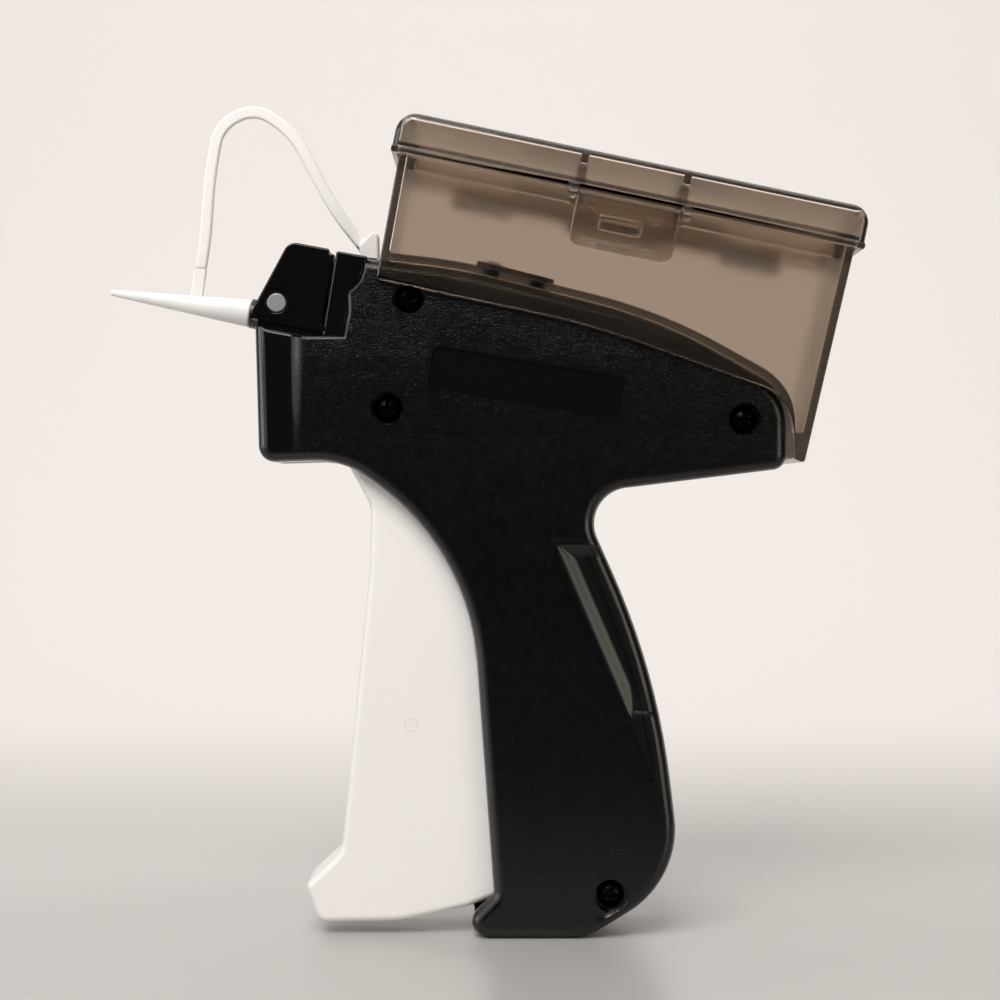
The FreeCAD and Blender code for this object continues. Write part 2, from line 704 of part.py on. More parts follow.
def needle_base():
    """Moulded base that carries the needle, locked by the cross pin."""
    piece = Piece("needle_base")
    flange, stub = size("flange_thick"), size("flange_thick + stub_long")
    piece.turn(outline([
        (-stub, size("needle_out"), 0), (-stub, size("stub_radius"), 0.4), (-flange, size("stub_radius"), 0),
        (-flange, size("flange_radius"), 0), (-0.02, size("flange_radius"), 0),
        (-0.02, size("hub_radius"), 0), (size("hub_long"), size("hub_radius"), 0),
        (size("hub_long"), 0.6, 0), (size("needle_root"), 0.6, 0), (size("needle_root"), size("needle_out"), 0),
    ]))
    lock = ("lock_along", "lock_above", "lock_radius + 0.1")
    piece.cut([lock], "-hub_radius - 1", "hub_radius + 1")
    place_on(piece.body, "barrel")
    return piece


def needle():
    """Hollow steel needle with a slit along its top and a slanted point."""
    piece = Piece("needle")
    reach = size("needle_reach")
    piece.turn(outline([
        (-reach, size("needle_bore"), 0), (-reach, size("needle_out"), 0),
        (size("needle_root"), size("needle_out"), 0), (size("needle_root"), size("needle_bore"), 0),
    ]))
    slit = rectangle("-needle_reach - 1", "-needle_reach + 30", "-0.2", "0.2")
    piece.cut(slit, "0", "needle_out + 1", plane="plan")
    point = outline([(-reach - 1, 3, 0), (-reach - 1, -0.95, 0), (-reach + 2.8, 0.95, 0), (-reach + 2.8, 3, 0)])
    piece.cut(point, "-2", "2")
    place_on(piece.body, "barrel")
    return piece


def needle_cap():
    """Slim pull-off cap with the root of its tether strap."""
    piece = Piece("needle_cap")
    mouth = -size("flange_thick") - 0.05
    tip = mouth - size("cap_long")
    base_bore = size("stub_radius + running_gap")
    end_bore = size("needle_out") + 0.12
    bore_end = -size("needle_reach") - 0.6
    piece.turn(outline([
        (mouth, base_bore, 0), (mouth, size("cap_base"), 0.5), (tip, size("cap_tip"), 0.5), (tip, 0, 0),
        (bore_end, 0, 0), (bore_end, end_bore, 0), (mouth - 7.5, end_bore + 0.1, 0),
        (mouth - 5.6, base_bore, 0),
    ]))
    root = rectangle("strap_root_along - strap_wide / 2", "strap_root_along + strap_wide / 2",
                     "-strap_thick / 2", "strap_thick / 2", 0.3)
    piece.pad(root, "1.45", "strap_root_above", plane="plan")
    place_on(piece.body, "barrel")
    return piece


def strap_route():
    """Corners of the strap's route in the side view, from its lug to its root on the cap."""
    end_x, end_z = point_on("barrel", size("strap_root_along"), size("strap_root_above"))
    tilt = math.radians(size("barrel_tilt"))
    last_run = 6.6
    return [
        (-35.3, 135.2), (-41.3, 142.8), (-49.8, 158.6), (-57.4, 163.7), (-64.8, 160.0), (-66.6, 149.4),
        (end_x + last_run * math.sin(tilt), end_z + last_run * math.cos(tilt)), (end_x, end_z),
    ]


def strap_path():
    """The strap's centre line: straight runs joined by the largest tangent arcs that fit."""
    corners = [Vector(x, 0, z) for x, z in strap_route()]
    edges = []
    start = corners[0]
    for before, here, after in zip(corners, corners[1:], corners[2:]):
        back, ahead = (before - here), (after - here)
        reach = 0.45 * min(back.Length, ahead.Length)
        back, ahead = back.normalize(), ahead.normalize()
        half = back.getAngle(ahead) / 2
        radius = reach * math.tan(half)
        nearest = here + (back + ahead).normalize() * (radius / math.sin(half) - radius)
        edges.append(Part.makeLine(start, here + back * reach))
        edges.append(Part.Arc(here + back * reach, nearest, here + ahead * reach).toShape())
        start = here + ahead * reach
    edges.append(Part.makeLine(start, corners[-1]))
    return Part.Wire(edges)


def cap_tether():
    """Moulded strap from a lug behind the head to the cap, one piece with its lug and peg."""
    path = strap_path()
    wide, thick = size("strap_wide") / 2, size("strap_thick") / 2
    start = path.Edges[0].valueAt(path.Edges[0].FirstParameter)
    along = path.Edges[0].tangentAt(path.Edges[0].FirstParameter)
    across = Vector(0, 1, 0).cross(along).normalize()
    corners = [start + across * u + Vector(0, v, 0)
               for u, v in ((-wide, -thick), (wide, -thick), (wide, thick), (-wide, thick))]
    profile = Part.makePolygon(corners + corners[:1])
    strap = path.makePipeShell([profile], True, True)
    expected = 4 * wide * thick * path.Length
    if abs(strap.Volume - expected) > 0.02 * expected:
        raise RuntimeError("the strap's volume doesn't match its length")
    lug = block(outline([
        (-36.4, 133.1, 0.3), (-32.6, 132.75, 0.3), (-32.7, 138.2, 0.9), (-34.0, 138.8, 0.9), (-36.5, 136.0, 1.2),
    ]), size("strap_thick / 2 + 1.2"))
    peg = block(outline([(-33.9, 133.5, 0), (-32.6, 133.5, 0), (-32.6, 130.4, 0.3), (-33.9, 130.4, 0.3)]),
                size("strap_thick"))
    return plain("cap_tether", strap.fuse([lug, peg]).removeSplitter())


def needle_lock_pin():
    """Steel push pin across the gate: pressed in, its waist frees the needle's base."""
    piece = Piece("needle_lock_pin")
    near_end = -size("gate_half + lock_proud")
    radius, neck = size("lock_radius"), size("lock_neck")
    piece.turn(outline([
        (0, near_end, 0), (radius, near_end, 0.25), (radius, -4.4, 0), (neck, -4.4, 0), (neck, 1.0, 0),
        (radius, 1.0, 0), (radius, 3.2, 0), (neck, 3.2, 0), (neck, 5.0, 0), (0, 5.0, 0),
    ]), axis="V_Axis", plane="plan")
    place_on(piece.body, "barrel", "lock_along", "0", "lock_above")
    return piece


def coil(radius, wire, length, turns):
    """A coil that stands on the XY plane, its wire drawn with a square section set on edge."""
    spine = Part.makeHelix(length / turns, length, radius)
    corners = [Vector(radius + wire, 0, 0), Vector(radius, 0, wire),
               Vector(radius - wire, 0, 0), Vector(radius, 0, -wire)]
    profile = Part.makePolygon(corners + corners[:1])
    return Part.Wire(spine.Edges).makePipeShell([profile], True, True)


def lock_spring():
    """Small coil that pushes the lock pin back out."""
    wire, turns = 0.28, 5
    start = 5.0 + wire + 0.02
    length = size("gate_half") - 1.2 - wire - 0.02 - start
    shape = coil(1.2, wire, length, turns)
    shape.rotate(Vector(0, 0, 0), Vector(1, 0, 0), -90)
    x, z = point_on("barrel", size("lock_along"), size("lock_above"))
    shape.translate(Vector(x, start, z))
    return plain("lock_spring", shape)


# ---------------------------------------------------------------- feed

def star(tip, root, count, lean):
    """A wheel's outline with saw teeth around the feed shaft."""
    points = []
    for tooth in range(count):
        start = 2 * math.pi * tooth / count
        points.append((tip * math.cos(start), tip * math.sin(start), 0))
        points.append((root * math.cos(start + lean), root * math.sin(start + lean), 0))
    return outline(points)


def feed_wheel():
    """Star wheel that carries the fasteners down the channel."""
    piece = Piece("feed_wheel")
    piece.pad(star(size("wheel_radius"), 3.2, 8, math.pi / 8), "8.6", "14.4", plane="end")
    piece.cut([("0", "0", "shaft_radius")], "8", "15", plane="end")
    place_on(piece.body, "barrel", "0", "wheel_y", "wheel_above")
    return piece


def feed_shaft():
    """Steel shaft of the feed wheel, running in both head blocks."""
    piece = Piece("feed_shaft")
    piece.pad([("0", "0", "shaft_radius")], "7.0", "24.4", plane="end")
    place_on(piece.body, "barrel", "0", "wheel_y", "wheel_above")
    return piece


def ratchet_wheel():
    """Saw-toothed wheel on the rear end of the feed shaft."""
    piece = Piece("ratchet_wheel")
    piece.pad(star(4.3, 3.3, 8, math.pi / 16), "22.9", "24.3", plane="end")
    piece.cut([("0", "0", "shaft_radius")], "22", "25", plane="end")
    place_on(piece.body, "barrel", "0", "wheel_y", "wheel_above")
    return piece


def index_lever():
    """Rocking lever that takes the ratchet wheel one tooth further at each stroke."""
    piece = Piece("index_lever")
    pivot = ("index_along", "-index_drop", "2.4")
    inner, outer = "7.0", "8.5"
    piece.pad([pivot], inner, outer)
    along, drop = size("index_along"), size("index_drop")
    piece.pad(outline([
        (along - 2.2, -drop, 0), (along + 2.0, -drop, 0), (27.3, 2.6, 0.4), (24.8, 3.3, 0.4), (24.8, 1.6, 0),
    ]), inner, outer)
    piece.cut([("index_along", "-index_drop", "shaft_radius + running_gap")], inner, outer)
    place_on(piece.body, "barrel")
    return piece


def index_pin():
    """Steel pin of the index lever, seated in the far shell."""
    piece = Piece("index_pin")
    piece.pad([("index_along", "-index_drop", "shaft_radius")], "6.8", "10.6")
    place_on(piece.body, "barrel")
    return piece


# ---------------------------------------------------------------- drive

def pin_on_slide(share):
    """The slide pin in the side view, after a share of the slide's travel."""
    return point_on("barrel", size("slide_rest") - share * size("slide_travel"), -size("slide_drop"))


def lever_throw():
    """How far the slide's whole travel swings the lever, in degrees."""
    bearings = []
    for share in (0, 1):
        x, z = pin_on_slide(share)
        bearings.append(math.degrees(math.atan2(z - size("lever_z"), x - size("lever_x"))))
    return bearings[1] - bearings[0]


def slide_points():
    """Where the slide pin goes in the lever's own frame, as the tool is squeezed."""
    pivot = (size("lever_x"), size("lever_z"))
    throw = lever_throw()
    shares = [step / 12 for step in range(13)]
    return [swung(pin_on_slide(share), pivot, -share * throw) for share in shares]


def drive_points():
    """Where the trigger's drive pin goes in the lever's own frame."""
    pivot = (size("lever_x"), size("lever_z"))
    hinge = (size("trigger_x"), size("trigger_z"))
    throw = lever_throw()
    points = []
    for step in range(13):
        share = step / 12
        pin = swung((size("drive_x"), size("drive_z")), hinge, share * size("trigger_throw"))
        points.append(swung(pin, pivot, -share * throw))
    return points


def bar(start, stop, half):
    """A straight arm between two points of the side view."""
    along = Vector(stop[0] - start[0], stop[1] - start[1], 0).normalize()
    side_x, side_z = -along.y * half, along.x * half
    return outline([
        (start[0] + side_x, start[1] + side_z, 0), (start[0] - side_x, start[1] - side_z, 0),
        (stop[0] - side_x, stop[1] - side_z, 0), (stop[0] + side_x, stop[1] + side_z, 0),
    ])


def middle(points):
    """Mean of the first and last of several points."""
    return (points[0][0] + points[-1][0]) / 2, (points[0][1] + points[-1][1]) / 2


def lever_elbow():
    """Bend of the lever's upper arm, which keeps it clear of the wall behind the thumb's web."""
    return size("lever_x + 3"), size("lever_z + 22")


def spring_eye():
    """Eye in the lever's ear, three quarters up the upper arm and behind it."""
    elbow, pin = lever_elbow(), pin_on_slide(0)
    behind, unused = parallel(pin, elbow, size("arm_half + eye_out"))
    reach = Vector(pin[0] - elbow[0], pin[1] - elbow[1], 0) / 4
    return behind[0] - reach.x, behind[1] - reach.y


def drive_lever():
    """Two-armed lever: the trigger's pin swings its lower arm, its upper arm drives the slide."""
    piece = Piece("drive_lever")
    pivot = (size("lever_x"), size("lever_z"))
    elbow = lever_elbow()
    slot = size("pin_radius + swing_gap")
    arm = size("arm_half")
    low, high = "-lever_half", "lever_half"
    piece.pad([("lever_x", "lever_z", "pin_radius + 3.2")], low, high)
    piece.pad([(str(elbow[0]), str(elbow[1]), "arm_half")], low, high)
    piece.pad(bar(pivot, elbow, arm), low, high)
    piece.pad(bar(elbow, middle(slide_points()), arm), low, high)
    piece.pad(around(slide_points(), slot + size("lever_rim")), low, high)
    piece.pad(bar(pivot, middle(drive_points()), arm), low, high)
    piece.pad(around(drive_points(), slot + size("lever_rim")), low, high)
    piece.cut(around(slide_points(), slot), "-lever_half - 1", "lever_half + 1")
    piece.cut(around(drive_points(), slot), "-lever_half - 1", "lever_half + 1")
    piece.cut([("lever_x", "lever_z", "pin_radius + running_gap")], "-lever_half - 1", "lever_half + 1")
    ear_x, ear_z = spring_eye()
    piece.pad([(str(ear_x), str(ear_z), "eye_radius + 1.4")], "-0.75", "0.75")
    piece.cut([(str(ear_x), str(ear_z), "eye_radius")], "-lever_half - 1", "lever_half + 1")
    return piece


def spring_ring(centre, axis, radius, wire):
    """An end ring of the spring, with the wire's square section."""
    corners = [Vector(radius + wire, 0, 0), Vector(radius, 0, wire),
               Vector(radius - wire, 0, 0), Vector(radius, 0, -wire)]
    ring = Part.Face(Part.makePolygon(corners + corners[:1])).revolve(
        Vector(0, 0, 0), Vector(0, 0, 1), 360)
    ring.Placement = Placement(centre, Rotation(Vector(0, 0, 1), axis))
    return ring


def return_spring():
    """Tension coil from the lever's ear to the rear screw boss: a coil and its two end rings."""
    wire, radius, turns = 0.4, 2.1, 8
    eye_x, eye_z = spring_eye()
    eye = Vector(eye_x, 0, eye_z)
    boss = Vector(size(SCREWS["rear"][0]), 0, size(SCREWS["rear"][1]))
    along = (boss - eye).normalize()
    square = Vector(-along.z, 0, along.x)
    small, large = 2.0, size("boss_radius") + wire + 0.1
    rings = [spring_ring(eye + along * small, square, small, wire),
             spring_ring(boss, Vector(0, 1, 0), large, wire)]
    gap = 0.05
    start = eye + along * (2 * small + 2 * wire + gap)
    length = (boss - start).Length - large - 2 * wire - gap
    body = coil(radius, wire, length, turns)
    body.Placement = Placement(start, Rotation(Vector(0, 0, 1), along))
    return plain("return_spring", Part.makeCompound([body] + rings))


def slide():
    """Block that runs on the shells' rails and pushes the ejector rod."""
    piece = Piece("ram_slide")
    front, rear = "slide_rest - 9.9", "slide_rest + 9.1"
    piece.pad(rectangle(front, rear, "-slide_high", "slide_high"), "-slide_half", "slide_half")
    cheek = outline([
        (size("slide_rest") - 3.6, 0, 0), (size("slide_rest") + 3.6, 0, 0),
        (size("slide_rest") + 3.6, -size("slide_drop") - 3.4, 3.2),
        (size("slide_rest") - 3.6, -size("slide_drop") - 3.4, 3.2),
    ])
    piece.pad(cheek, "-cheek_half", "cheek_half")
    lever_slot = rectangle("slide_rest - 6.7", "slide_rest + 6.9", "-slide_drop - 6", "slide_high + 1")
    piece.cut(lever_slot, "-lever_half - 0.5", "lever_half + 0.5")
    for side in (-1, 1):
        pocket = rectangle("slide_rest - 8.2", "slide_rest + 7.4", "-slide_high - 1", "slide_high - 1.2")
        piece.cut(pocket, f"{side} * (cheek_half + 0.01)", f"{side} * (slide_half - 1.4)")
    piece.cut([("slide_rest", "-slide_drop", "pin_radius")], "-slide_half", "slide_half")
    rod_seat = [("0", "0", "sleeve_radius")]
    piece.cut(rod_seat, "slide_rest - 11", "slide_rest - 7.9", plane="end")
    place_on(piece.body, "barrel")
    return piece


def slide_pin():
    """Steel pin between the slide's cheeks."""
    piece = Piece("slide_pin")
    piece.pad([("slide_rest", "-slide_drop", "pin_radius")], "-cheek_half", "cheek_half")
    place_on(piece.body, "barrel")
    return piece


def ejector_rod():
    """Steel rod that pushes a fastener through the needle."""
    piece = Piece("ejector_rod")
    tip, step, rear = 16.4, size("slide_rest") - 18.4, size("slide_rest") - 7.9
    piece.turn(outline([
        (tip, 0, 0), (tip, size("rod_radius"), 0.1), (step, size("rod_radius"), 0),
        (step + 0.6, size("sleeve_radius"), 0), (rear, size("sleeve_radius"), 0), (rear, 0, 0),
    ]))
    place_on(piece.body, "barrel")
    return piece


# ---------------------------------------------------------------- trigger

def trigger_outline():
    """Side view of the trigger below its hub, with the flanges that hide in the grip."""
    return outline([
        (-35.4, 103.0, 0), (-38.2, 92.0, 2.0), (-33.75, 84.0, 7.0), (-34.1, 71.0, 60.0),
        (-39.6, 16.2, 5.0), (-46.7, 9.6, 1.7), (-44.0, 2.45, 2.4), (-28.0, 2.7, 30.0),
        (-14.6, 5.6, 8.0), (-8.2, 7.9, 1.7), (-7.2, 36.0, 3.0), (-2.0, 40.5, 2.4),
        (-2.0, 49.5, 2.4), (-6.0, 52.8, 1.7), (-12.5, 54.0, 1.7), (-12.5, 64.0, 4.0),
        (-15.0, 74.0, 6.0), (-21.0, 86.0, 6.0), (-25.6, 101.0, 0),
    ])


def trigger():
    """Hollow white trigger that hangs on the pivot boss."""
    piece = Piece("trigger")
    low, high = "-trigger_half", "trigger_half"
    piece.pad(trigger_outline(), low, high)
    half = size("trigger_half")
    piece.round_edges("1.3", lambda edge: (
        all(abs(abs(v.Y) - half) < 1e-6 for v in edge.Vertexes)
        and edge.BoundBox.XMax < -33 + 1e-6 and edge.BoundBox.ZMax < 93))
    channel = grown(trigger_outline(), -size("trigger_wall"))
    for shift in (0, 5.0):
        piece.cut(shifted(channel, shift, 0), "-(trigger_half - trigger_wall)", "trigger_half - trigger_wall")
    lever_room = rectangle("drive_x - 8.5", "drive_x + 6", "drive_z", "drive_z + 12")
    piece.cut(lever_room, "-(trigger_half - trigger_wall)", "trigger_half - trigger_wall")
    piece.pad([("trigger_x", "trigger_z", "trigger_hub")], low, high)
    piece.cut([("trigger_x", "trigger_z", "boss_radius + running_gap + 0.03")],
              "-trigger_half - 1", "trigger_half + 1")
    piece.cut([("drive_x", "drive_z", "pin_radius")], "-(trigger_half - 0.6)", "trigger_half - 0.6")
    return piece


# ---------------------------------------------------------------- screws

def screw(head, shank, high, long, slot_deep):
    """A pan-head screw with a cross recess, its head standing on the XY plane, shank downwards."""
    body = Part.makeCylinder(shank, long, Vector(0, 0, -long))
    top = Part.makeCylinder(head, high)
    top = top.makeChamfer(high * 0.3, [edge for edge in top.Edges if abs(edge.BoundBox.ZMin - high) < 1e-6])
    shape = body.fuse(top).removeSplitter()
    arm, width = head * 0.62, head * 0.2
    for turn in (0, 90):
        slot = Part.makeBox(2 * arm, 2 * width, slot_deep, Vector(-arm, -width, high - slot_deep))
        slot.rotate(Vector(0, 0, 0), Vector(0, 0, 1), turn)
        shape = shape.cut(slot)
    return shape


def housing_screws():
    """The four screws that hold the shells together, driven from the near side."""
    seat = -size("shell_half - recess_deep")
    solids = []
    for x, z in SCREWS.values():
        shape = screw(size("screw_head"), size("screw_shank"), size("head_high"),
                      -seat + size("screw_reach"), 1.1)
        shape.rotate(Vector(0, 0, 0), Vector(1, 0, 0), 90)
        shape.translate(Vector(size(x), seat, size(z)))
        solids.append(shape)
    return plain("housing_screws", Part.makeCompound(solids))


def clamp_screws():
    """Two screws that hold the clamp plate, the hopper's floor and the body together."""
    solids = []
    lift = size("hopper_floor + clamp_thick + 2 * fit_gap")
    for across, rearwards in CLAMP_SCREWS:
        foot, up = clamp_axis(across, rearwards)
        shape = screw(2.4, size("screw_shank"), 1.3, 5.6, 0.8)
        shape.Placement = Placement(foot + up * lift, Rotation(Vector(0, 1, 0), clamp_slope()))
        solids.append(shape)
    return plain("clamp_screws", Part.makeCompound(solids))


def clamp_plate():
    """Raised plate on the hopper's floor."""
    half_long, half = 7.7, size("hopper_half - hopper_wall - 0.4")
    plate = Part.makeBox(2 * half_long, 2 * half, size("clamp_thick"), Vector(-half_long, -half, 0))
    plate = plate.makeFillet(0.8, [edge for edge in plate.Edges if edge.BoundBox.ZLength > 1])
    foot, up = clamp_axis(0, 0)
    plate.Placement = Placement(foot + up * size("hopper_floor + 2 * fit_gap"),
                                Rotation(Vector(0, 1, 0), clamp_slope()))
    for across, rearwards in CLAMP_SCREWS:
        foot, up = clamp_axis(across, rearwards)
        plate = plate.cut(Part.makeCylinder(size("screw_shank + 0.1"), 12, foot - up * 5, up))
    return plain("clamp_plate", plate)


# ---------------------------------------------------------------- hopper

def in_lid_frame(curves):
    """A side-view outline of the tool, seen in the lid's own frame."""
    moved = shifted(curves, -size("lid_x"), -size("lid_z"))
    for curve in moved:
        curve.rotate(Placement(Vector(0, 0, 0), Rotation(Vector(0, 0, 1), size("lid_tilt"))))
    return moved


def box_walls(distance):
    """The box's front and rear wall lines in the side view, each as two points, moved inwards."""
    front_low, rear_low = (-32.4, 127.9), (50.25, 92.3)
    front_top = point_on("lid", size("lid_over"), size("rim_over"))
    rear_top = point_on("lid", size("lid_long - lid_over"), size("rim_over"))
    return parallel(front_top, front_low, distance), parallel(rear_low, rear_top, distance)


def box_outline():
    """Side view of the hopper box with its skirts and its tail."""
    front, rear = box_walls(0)
    return outline([
        front[1] + (0.8,), front[0] + (0,), rear[1] + (0,), rear[0] + (0.6,),
        (48.2, 93.2, 0.3), (47.6, 105.3, 9.0), (8.5, 119.2, 150.0),
    ])


def box_inside():
    """Side view of the hopper's cavity, open at the top."""
    front, rear = box_walls(size("hopper_wall"))
    lid_line = (point_on("lid", 0, 5.0), point_on("lid", size("lid_long"), 5.0))
    low, middle_corner, high = above_top(size("hopper_floor + fit_gap"))
    nose_line = parallel(TOP_LINE[0], TOP_LINE[1], size("hopper_floor + fit_gap"))
    tail = 98.0
    tail_line = ((0, tail), (1, tail))
    return outline([
        crossing(front, nose_line) + (0.8,), crossing(front, lid_line) + (0,),
        crossing(rear, lid_line) + (0,), crossing(rear, tail_line) + (0.5,),
        (high[0], tail, 0.5), high, middle_corner, low,
    ])


def body_saddle():
    """Side view of the space that the body fills under the hopper."""
    low, middle_corner, high = above_top(size("fit_gap"))
    nose_line = parallel(TOP_LINE[0], TOP_LINE[1], size("fit_gap"))
    front = ((-40.0, 0), (-40.0, 1))
    return outline([
        (-40.0, 80.0, 0), (high[0], 80.0, 0), high, middle_corner, low, crossing(nose_line, front) + (0,),
    ])


HINGE_CUTS = (0.13, 0.26, 0.39, 0.61, 0.74, 0.87)      # ends of the knuckles, as shares of the lid
SLOT_LONG, SLOT_HIGH = 8.2, 2.6


def hinge_spans(first):
    """Every second knuckle of the hinge, from the first or second one on: the box's or the lid's."""
    half_gap = size("swing_gap") / 2
    cuts = [share * size("lid_long") for share in HINGE_CUTS]
    spans = list(zip(cuts, cuts[1:]))[first::2]
    return [(start + half_gap, stop - half_gap) for start, stop in spans]


def latch_slot(gap):
    """The latch's slot in its side view, or the catch that goes into it with a gap all around."""
    along = size("latch_near + latch_wide / 2 - 0.9")
    above = -size("latch_drop + latch_high * 0.46")
    half_long, half_high = SLOT_LONG / 2 - gap, SLOT_HIGH / 2 - gap
    return rectangle(str(along - half_long), str(along + half_long),
                     str(above - half_high), str(above + half_high), 0.5)


def hinge_knuckles(piece, spans, web, bore):
    """Knuckles with their webs on the hinge axis, bored for the pin."""
    axis = ("lid_half + hinge_out", "-hinge_drop")
    for start, stop in spans:
        piece.pad(web, str(start), str(stop), plane="end")
        piece.pad([axis + ("knuckle",)], str(start), str(stop), plane="end")
        piece.cut([axis + (bore,)], str(start - 0.1), str(stop + 0.1), plane="end")


def hopper_box():
    """Smoked transparent box that straddles the body's top, drawn in the lid's frame."""
    piece = Piece("hopper_box")
    place_on(piece.body, "lid")
    inner = "hopper_half - hopper_wall"
    piece.pad(in_lid_frame(box_outline()), "-hopper_half", "hopper_half")
    piece.cut(in_lid_frame(body_saddle()), f"-({inner})", inner)
    piece.cut(in_lid_frame(box_inside()), f"-({inner})", inner)
    for across, rearwards in CLAMP_SCREWS:
        clamp_hole(piece, across, rearwards, "screw_shank + 0.1")
    hinge_y, drop = size("lid_half + hinge_out"), -size("hinge_drop")
    web = outline([
        (size("hopper_half") - 0.3, drop - size("knuckle") - 1.6, 0), (hinge_y, drop - size("knuckle"), 0),
        (hinge_y, drop, 0), (size("hopper_half") - 0.3, drop, 0),
    ])
    hinge_knuckles(piece, hinge_spans(0), web, "hinge_pin + fit_gap")
    catch = latch_slot(size("swing_gap"))
    piece.pad(catch, "-hopper_half + 0.3", "-(lid_half + latch_out - latch_thick / 2 - 0.1)")
    return piece


def hopper_lid():
    """Smoked lid with a lip that goes into the box, hinged on the far side."""
    piece = Piece("hopper_lid")
    place_on(piece.body, "lid")
    side_view = outline([
        (0, 0, 0), (size("lid_long"), 0, 0), (size("lid_long"), size("lid_high"), 3.5),
        (0, size("lid_high"), 4.0),
    ])
    piece.pad(side_view, "-lid_half", "lid_half")
    half, high = size("lid_half"), size("lid_high")
    piece.round_edges("1.6", lambda edge: (
        all(abs(abs(v.Y) - half) < 1e-6 for v in edge.Vertexes)
        and edge.BoundBox.YLength < 1e-3 and lid_height(edge) > 0.1))
    inner = "lid_half - lid_wall"
    hollow = rectangle("lid_wall", "lid_long - lid_wall", "-1", "lid_high - lid_wall", 0.9)
    piece.cut(hollow, f"-({inner})", inner)
    wall = size("lid_wall")
    ledge = rectangle("lid_wall / 2", "lid_long - lid_wall / 2", f"-({inner}) - 0.1", f"{inner} + 0.1")
    piece.pad(ledge, "rim_over + swing_gap", "rim_over + swing_gap + 0.9", plane="plan")
    front, rear = "lid_over + hopper_wall + 0.5", "lid_long - lid_over - hopper_wall - 0.5"
    lip = rectangle(front, rear, "-lip_half", "lip_half", 0.6)
    piece.pad(lip, "-lip_deep", "rim_over + swing_gap + 0.5", plane="plan")
    opening = rectangle(f"{front} + {wall}", f"{rear} - {wall}", f"-lip_half + {wall}", f"lip_half - {wall}", 0.6)
    piece.cut(opening, "-lip_deep - 1", "rim_over + swing_gap + 0.9", plane="plan")
    for over in ("latch_near", "latch_near + latch_wide"):
        rib = rectangle(f"{over} - 0.5", f"{over} + 0.5", "lid_high - lid_wall - 1.6", "lid_high - lid_wall / 2")
        piece.pad(rib, f"-({inner})", inner)
    bead = rectangle("0", "lid_long", "0", "1.2", 0.3)
    piece.pad(bead, "-lid_half - 0.7", "-lid_half + 0.4")

    hinge_y, drop, knuckle = size("lid_half + hinge_out"), -size("hinge_drop"), size("knuckle")
    slant = knuckle * math.sin(math.radians(45))
    web = outline([
        (half - 0.3, 0.05, 0), (hinge_y, drop, 0), (hinge_y + slant, drop + slant, 0), (half - 0.3, 4.2, 0),
    ])
    hinge_knuckles(piece, hinge_spans(1), web, "hinge_pin + running_gap")

    ear_y = size("lid_half + latch_out")
    ear = outline([
        (-ear_y - 0.85, 0.9, 0.3), (-ear_y - 0.85, -1.7, 0.6), (-half + 0.1, -1.7, 0.3), (-half + 0.1, 0.9, 0),
    ])
    near_ear = ("latch_near - 0.2 - 1.7", "latch_near - 0.2")
    far_ear = ("latch_near + latch_wide + 0.2", "latch_near + latch_wide + 0.2 + 1.7")
    for start, stop in (near_ear, far_ear):
        piece.pad(ear, start, stop, plane="end")
    trunnion_bore = [("-(lid_half + latch_out)", "-latch_drop", "0.45 + running_gap")]
    piece.cut(trunnion_bore, "latch_near - 3", "latch_near + latch_wide + 3", plane="end")
    return piece


def lid_height(edge):
    """Lowest height of an edge over the lid's rim, in the body's own frame."""
    return min(vertex.Z for vertex in edge.Vertexes)


def lid_latch():
    """Swinging latch with a slot, hung in two ears of the lid."""
    piece = Piece("lid_latch")
    place_on(piece.body, "lid")
    near, far = size("latch_near"), size("latch_near + latch_wide")
    pivot, low = -size("latch_drop"), -size("latch_drop + latch_high")
    plate = outline([(near, pivot, 0), (near, low, 2.2), (far, low, 2.2), (far, pivot, 0)])
    inside = "-(lid_half + latch_out - latch_thick / 2)"
    outside = "-(lid_half + latch_out + latch_thick / 2)"
    piece.pad(plate, inside, outside)
    piece.cut(latch_slot(0), inside, outside)
    grip = outline([(near + 2.4, low + 0.7, 0.3), (far - 2.4, low + 0.7, 0.3),
                    (far - 2.4, low + 1.5, 0.3), (near + 2.4, low + 1.5, 0.3)])
    piece.pad(grip, "-(lid_half + latch_out)", "-(lid_half + latch_out + latch_thick / 2 + 0.4)")
    axis = ("-(lid_half + latch_out)", "-latch_drop")
    piece.pad([axis + ("latch_thick / 2",)], "latch_near", "latch_near + latch_wide", plane="end")
    piece.pad([axis + ("0.45",)], "latch_near - 1.8", "latch_near + latch_wide + 1.8", plane="end")
    return piece


def lid_hinge_pin():
    """Steel pin of the lid's hinge, seated in the box's knuckles."""
    piece = Piece("lid_hinge_pin")
    spans = hinge_spans(0)
    piece.pad([("lid_half + hinge_out", "-hinge_drop", "hinge_pin")], str(spans[0][0] + 0.3),
              str(spans[-1][1] - 0.3), plane="end")
    place_on(piece.body, "lid")
    return piece


# ---------------------------------------------------------------- assembly

def build_all():
    """Every piece of the tool, each with its own label and placement."""
    shell("left_shell", -1)
    shell("right_shell", 1)
    nose_gate()
    gate_seat()
    feed_block()
    knife_blade()
    needle_base()
    needle()
    needle_lock_pin()
    lock_spring()
    needle_cap()
    cap_tether()
    feed_wheel()
    feed_shaft()
    ratchet_wheel()
    index_lever()
    index_pin()
    trigger()
    cross_pin("drive_pin", "pin_radius", "trigger_half - 0.6", "drive_x", "drive_z")
    drive_lever()
    cross_pin("lever_pivot_pin", "pin_radius", "9", "lever_x", "lever_z")
    slide()
    slide_pin()
    ejector_rod()
    return_spring()
    housing_screws()
    hopper_box()
    clamp_plate()
    clamp_screws()
    hopper_lid()
    lid_hinge_pin()
    lid_latch()


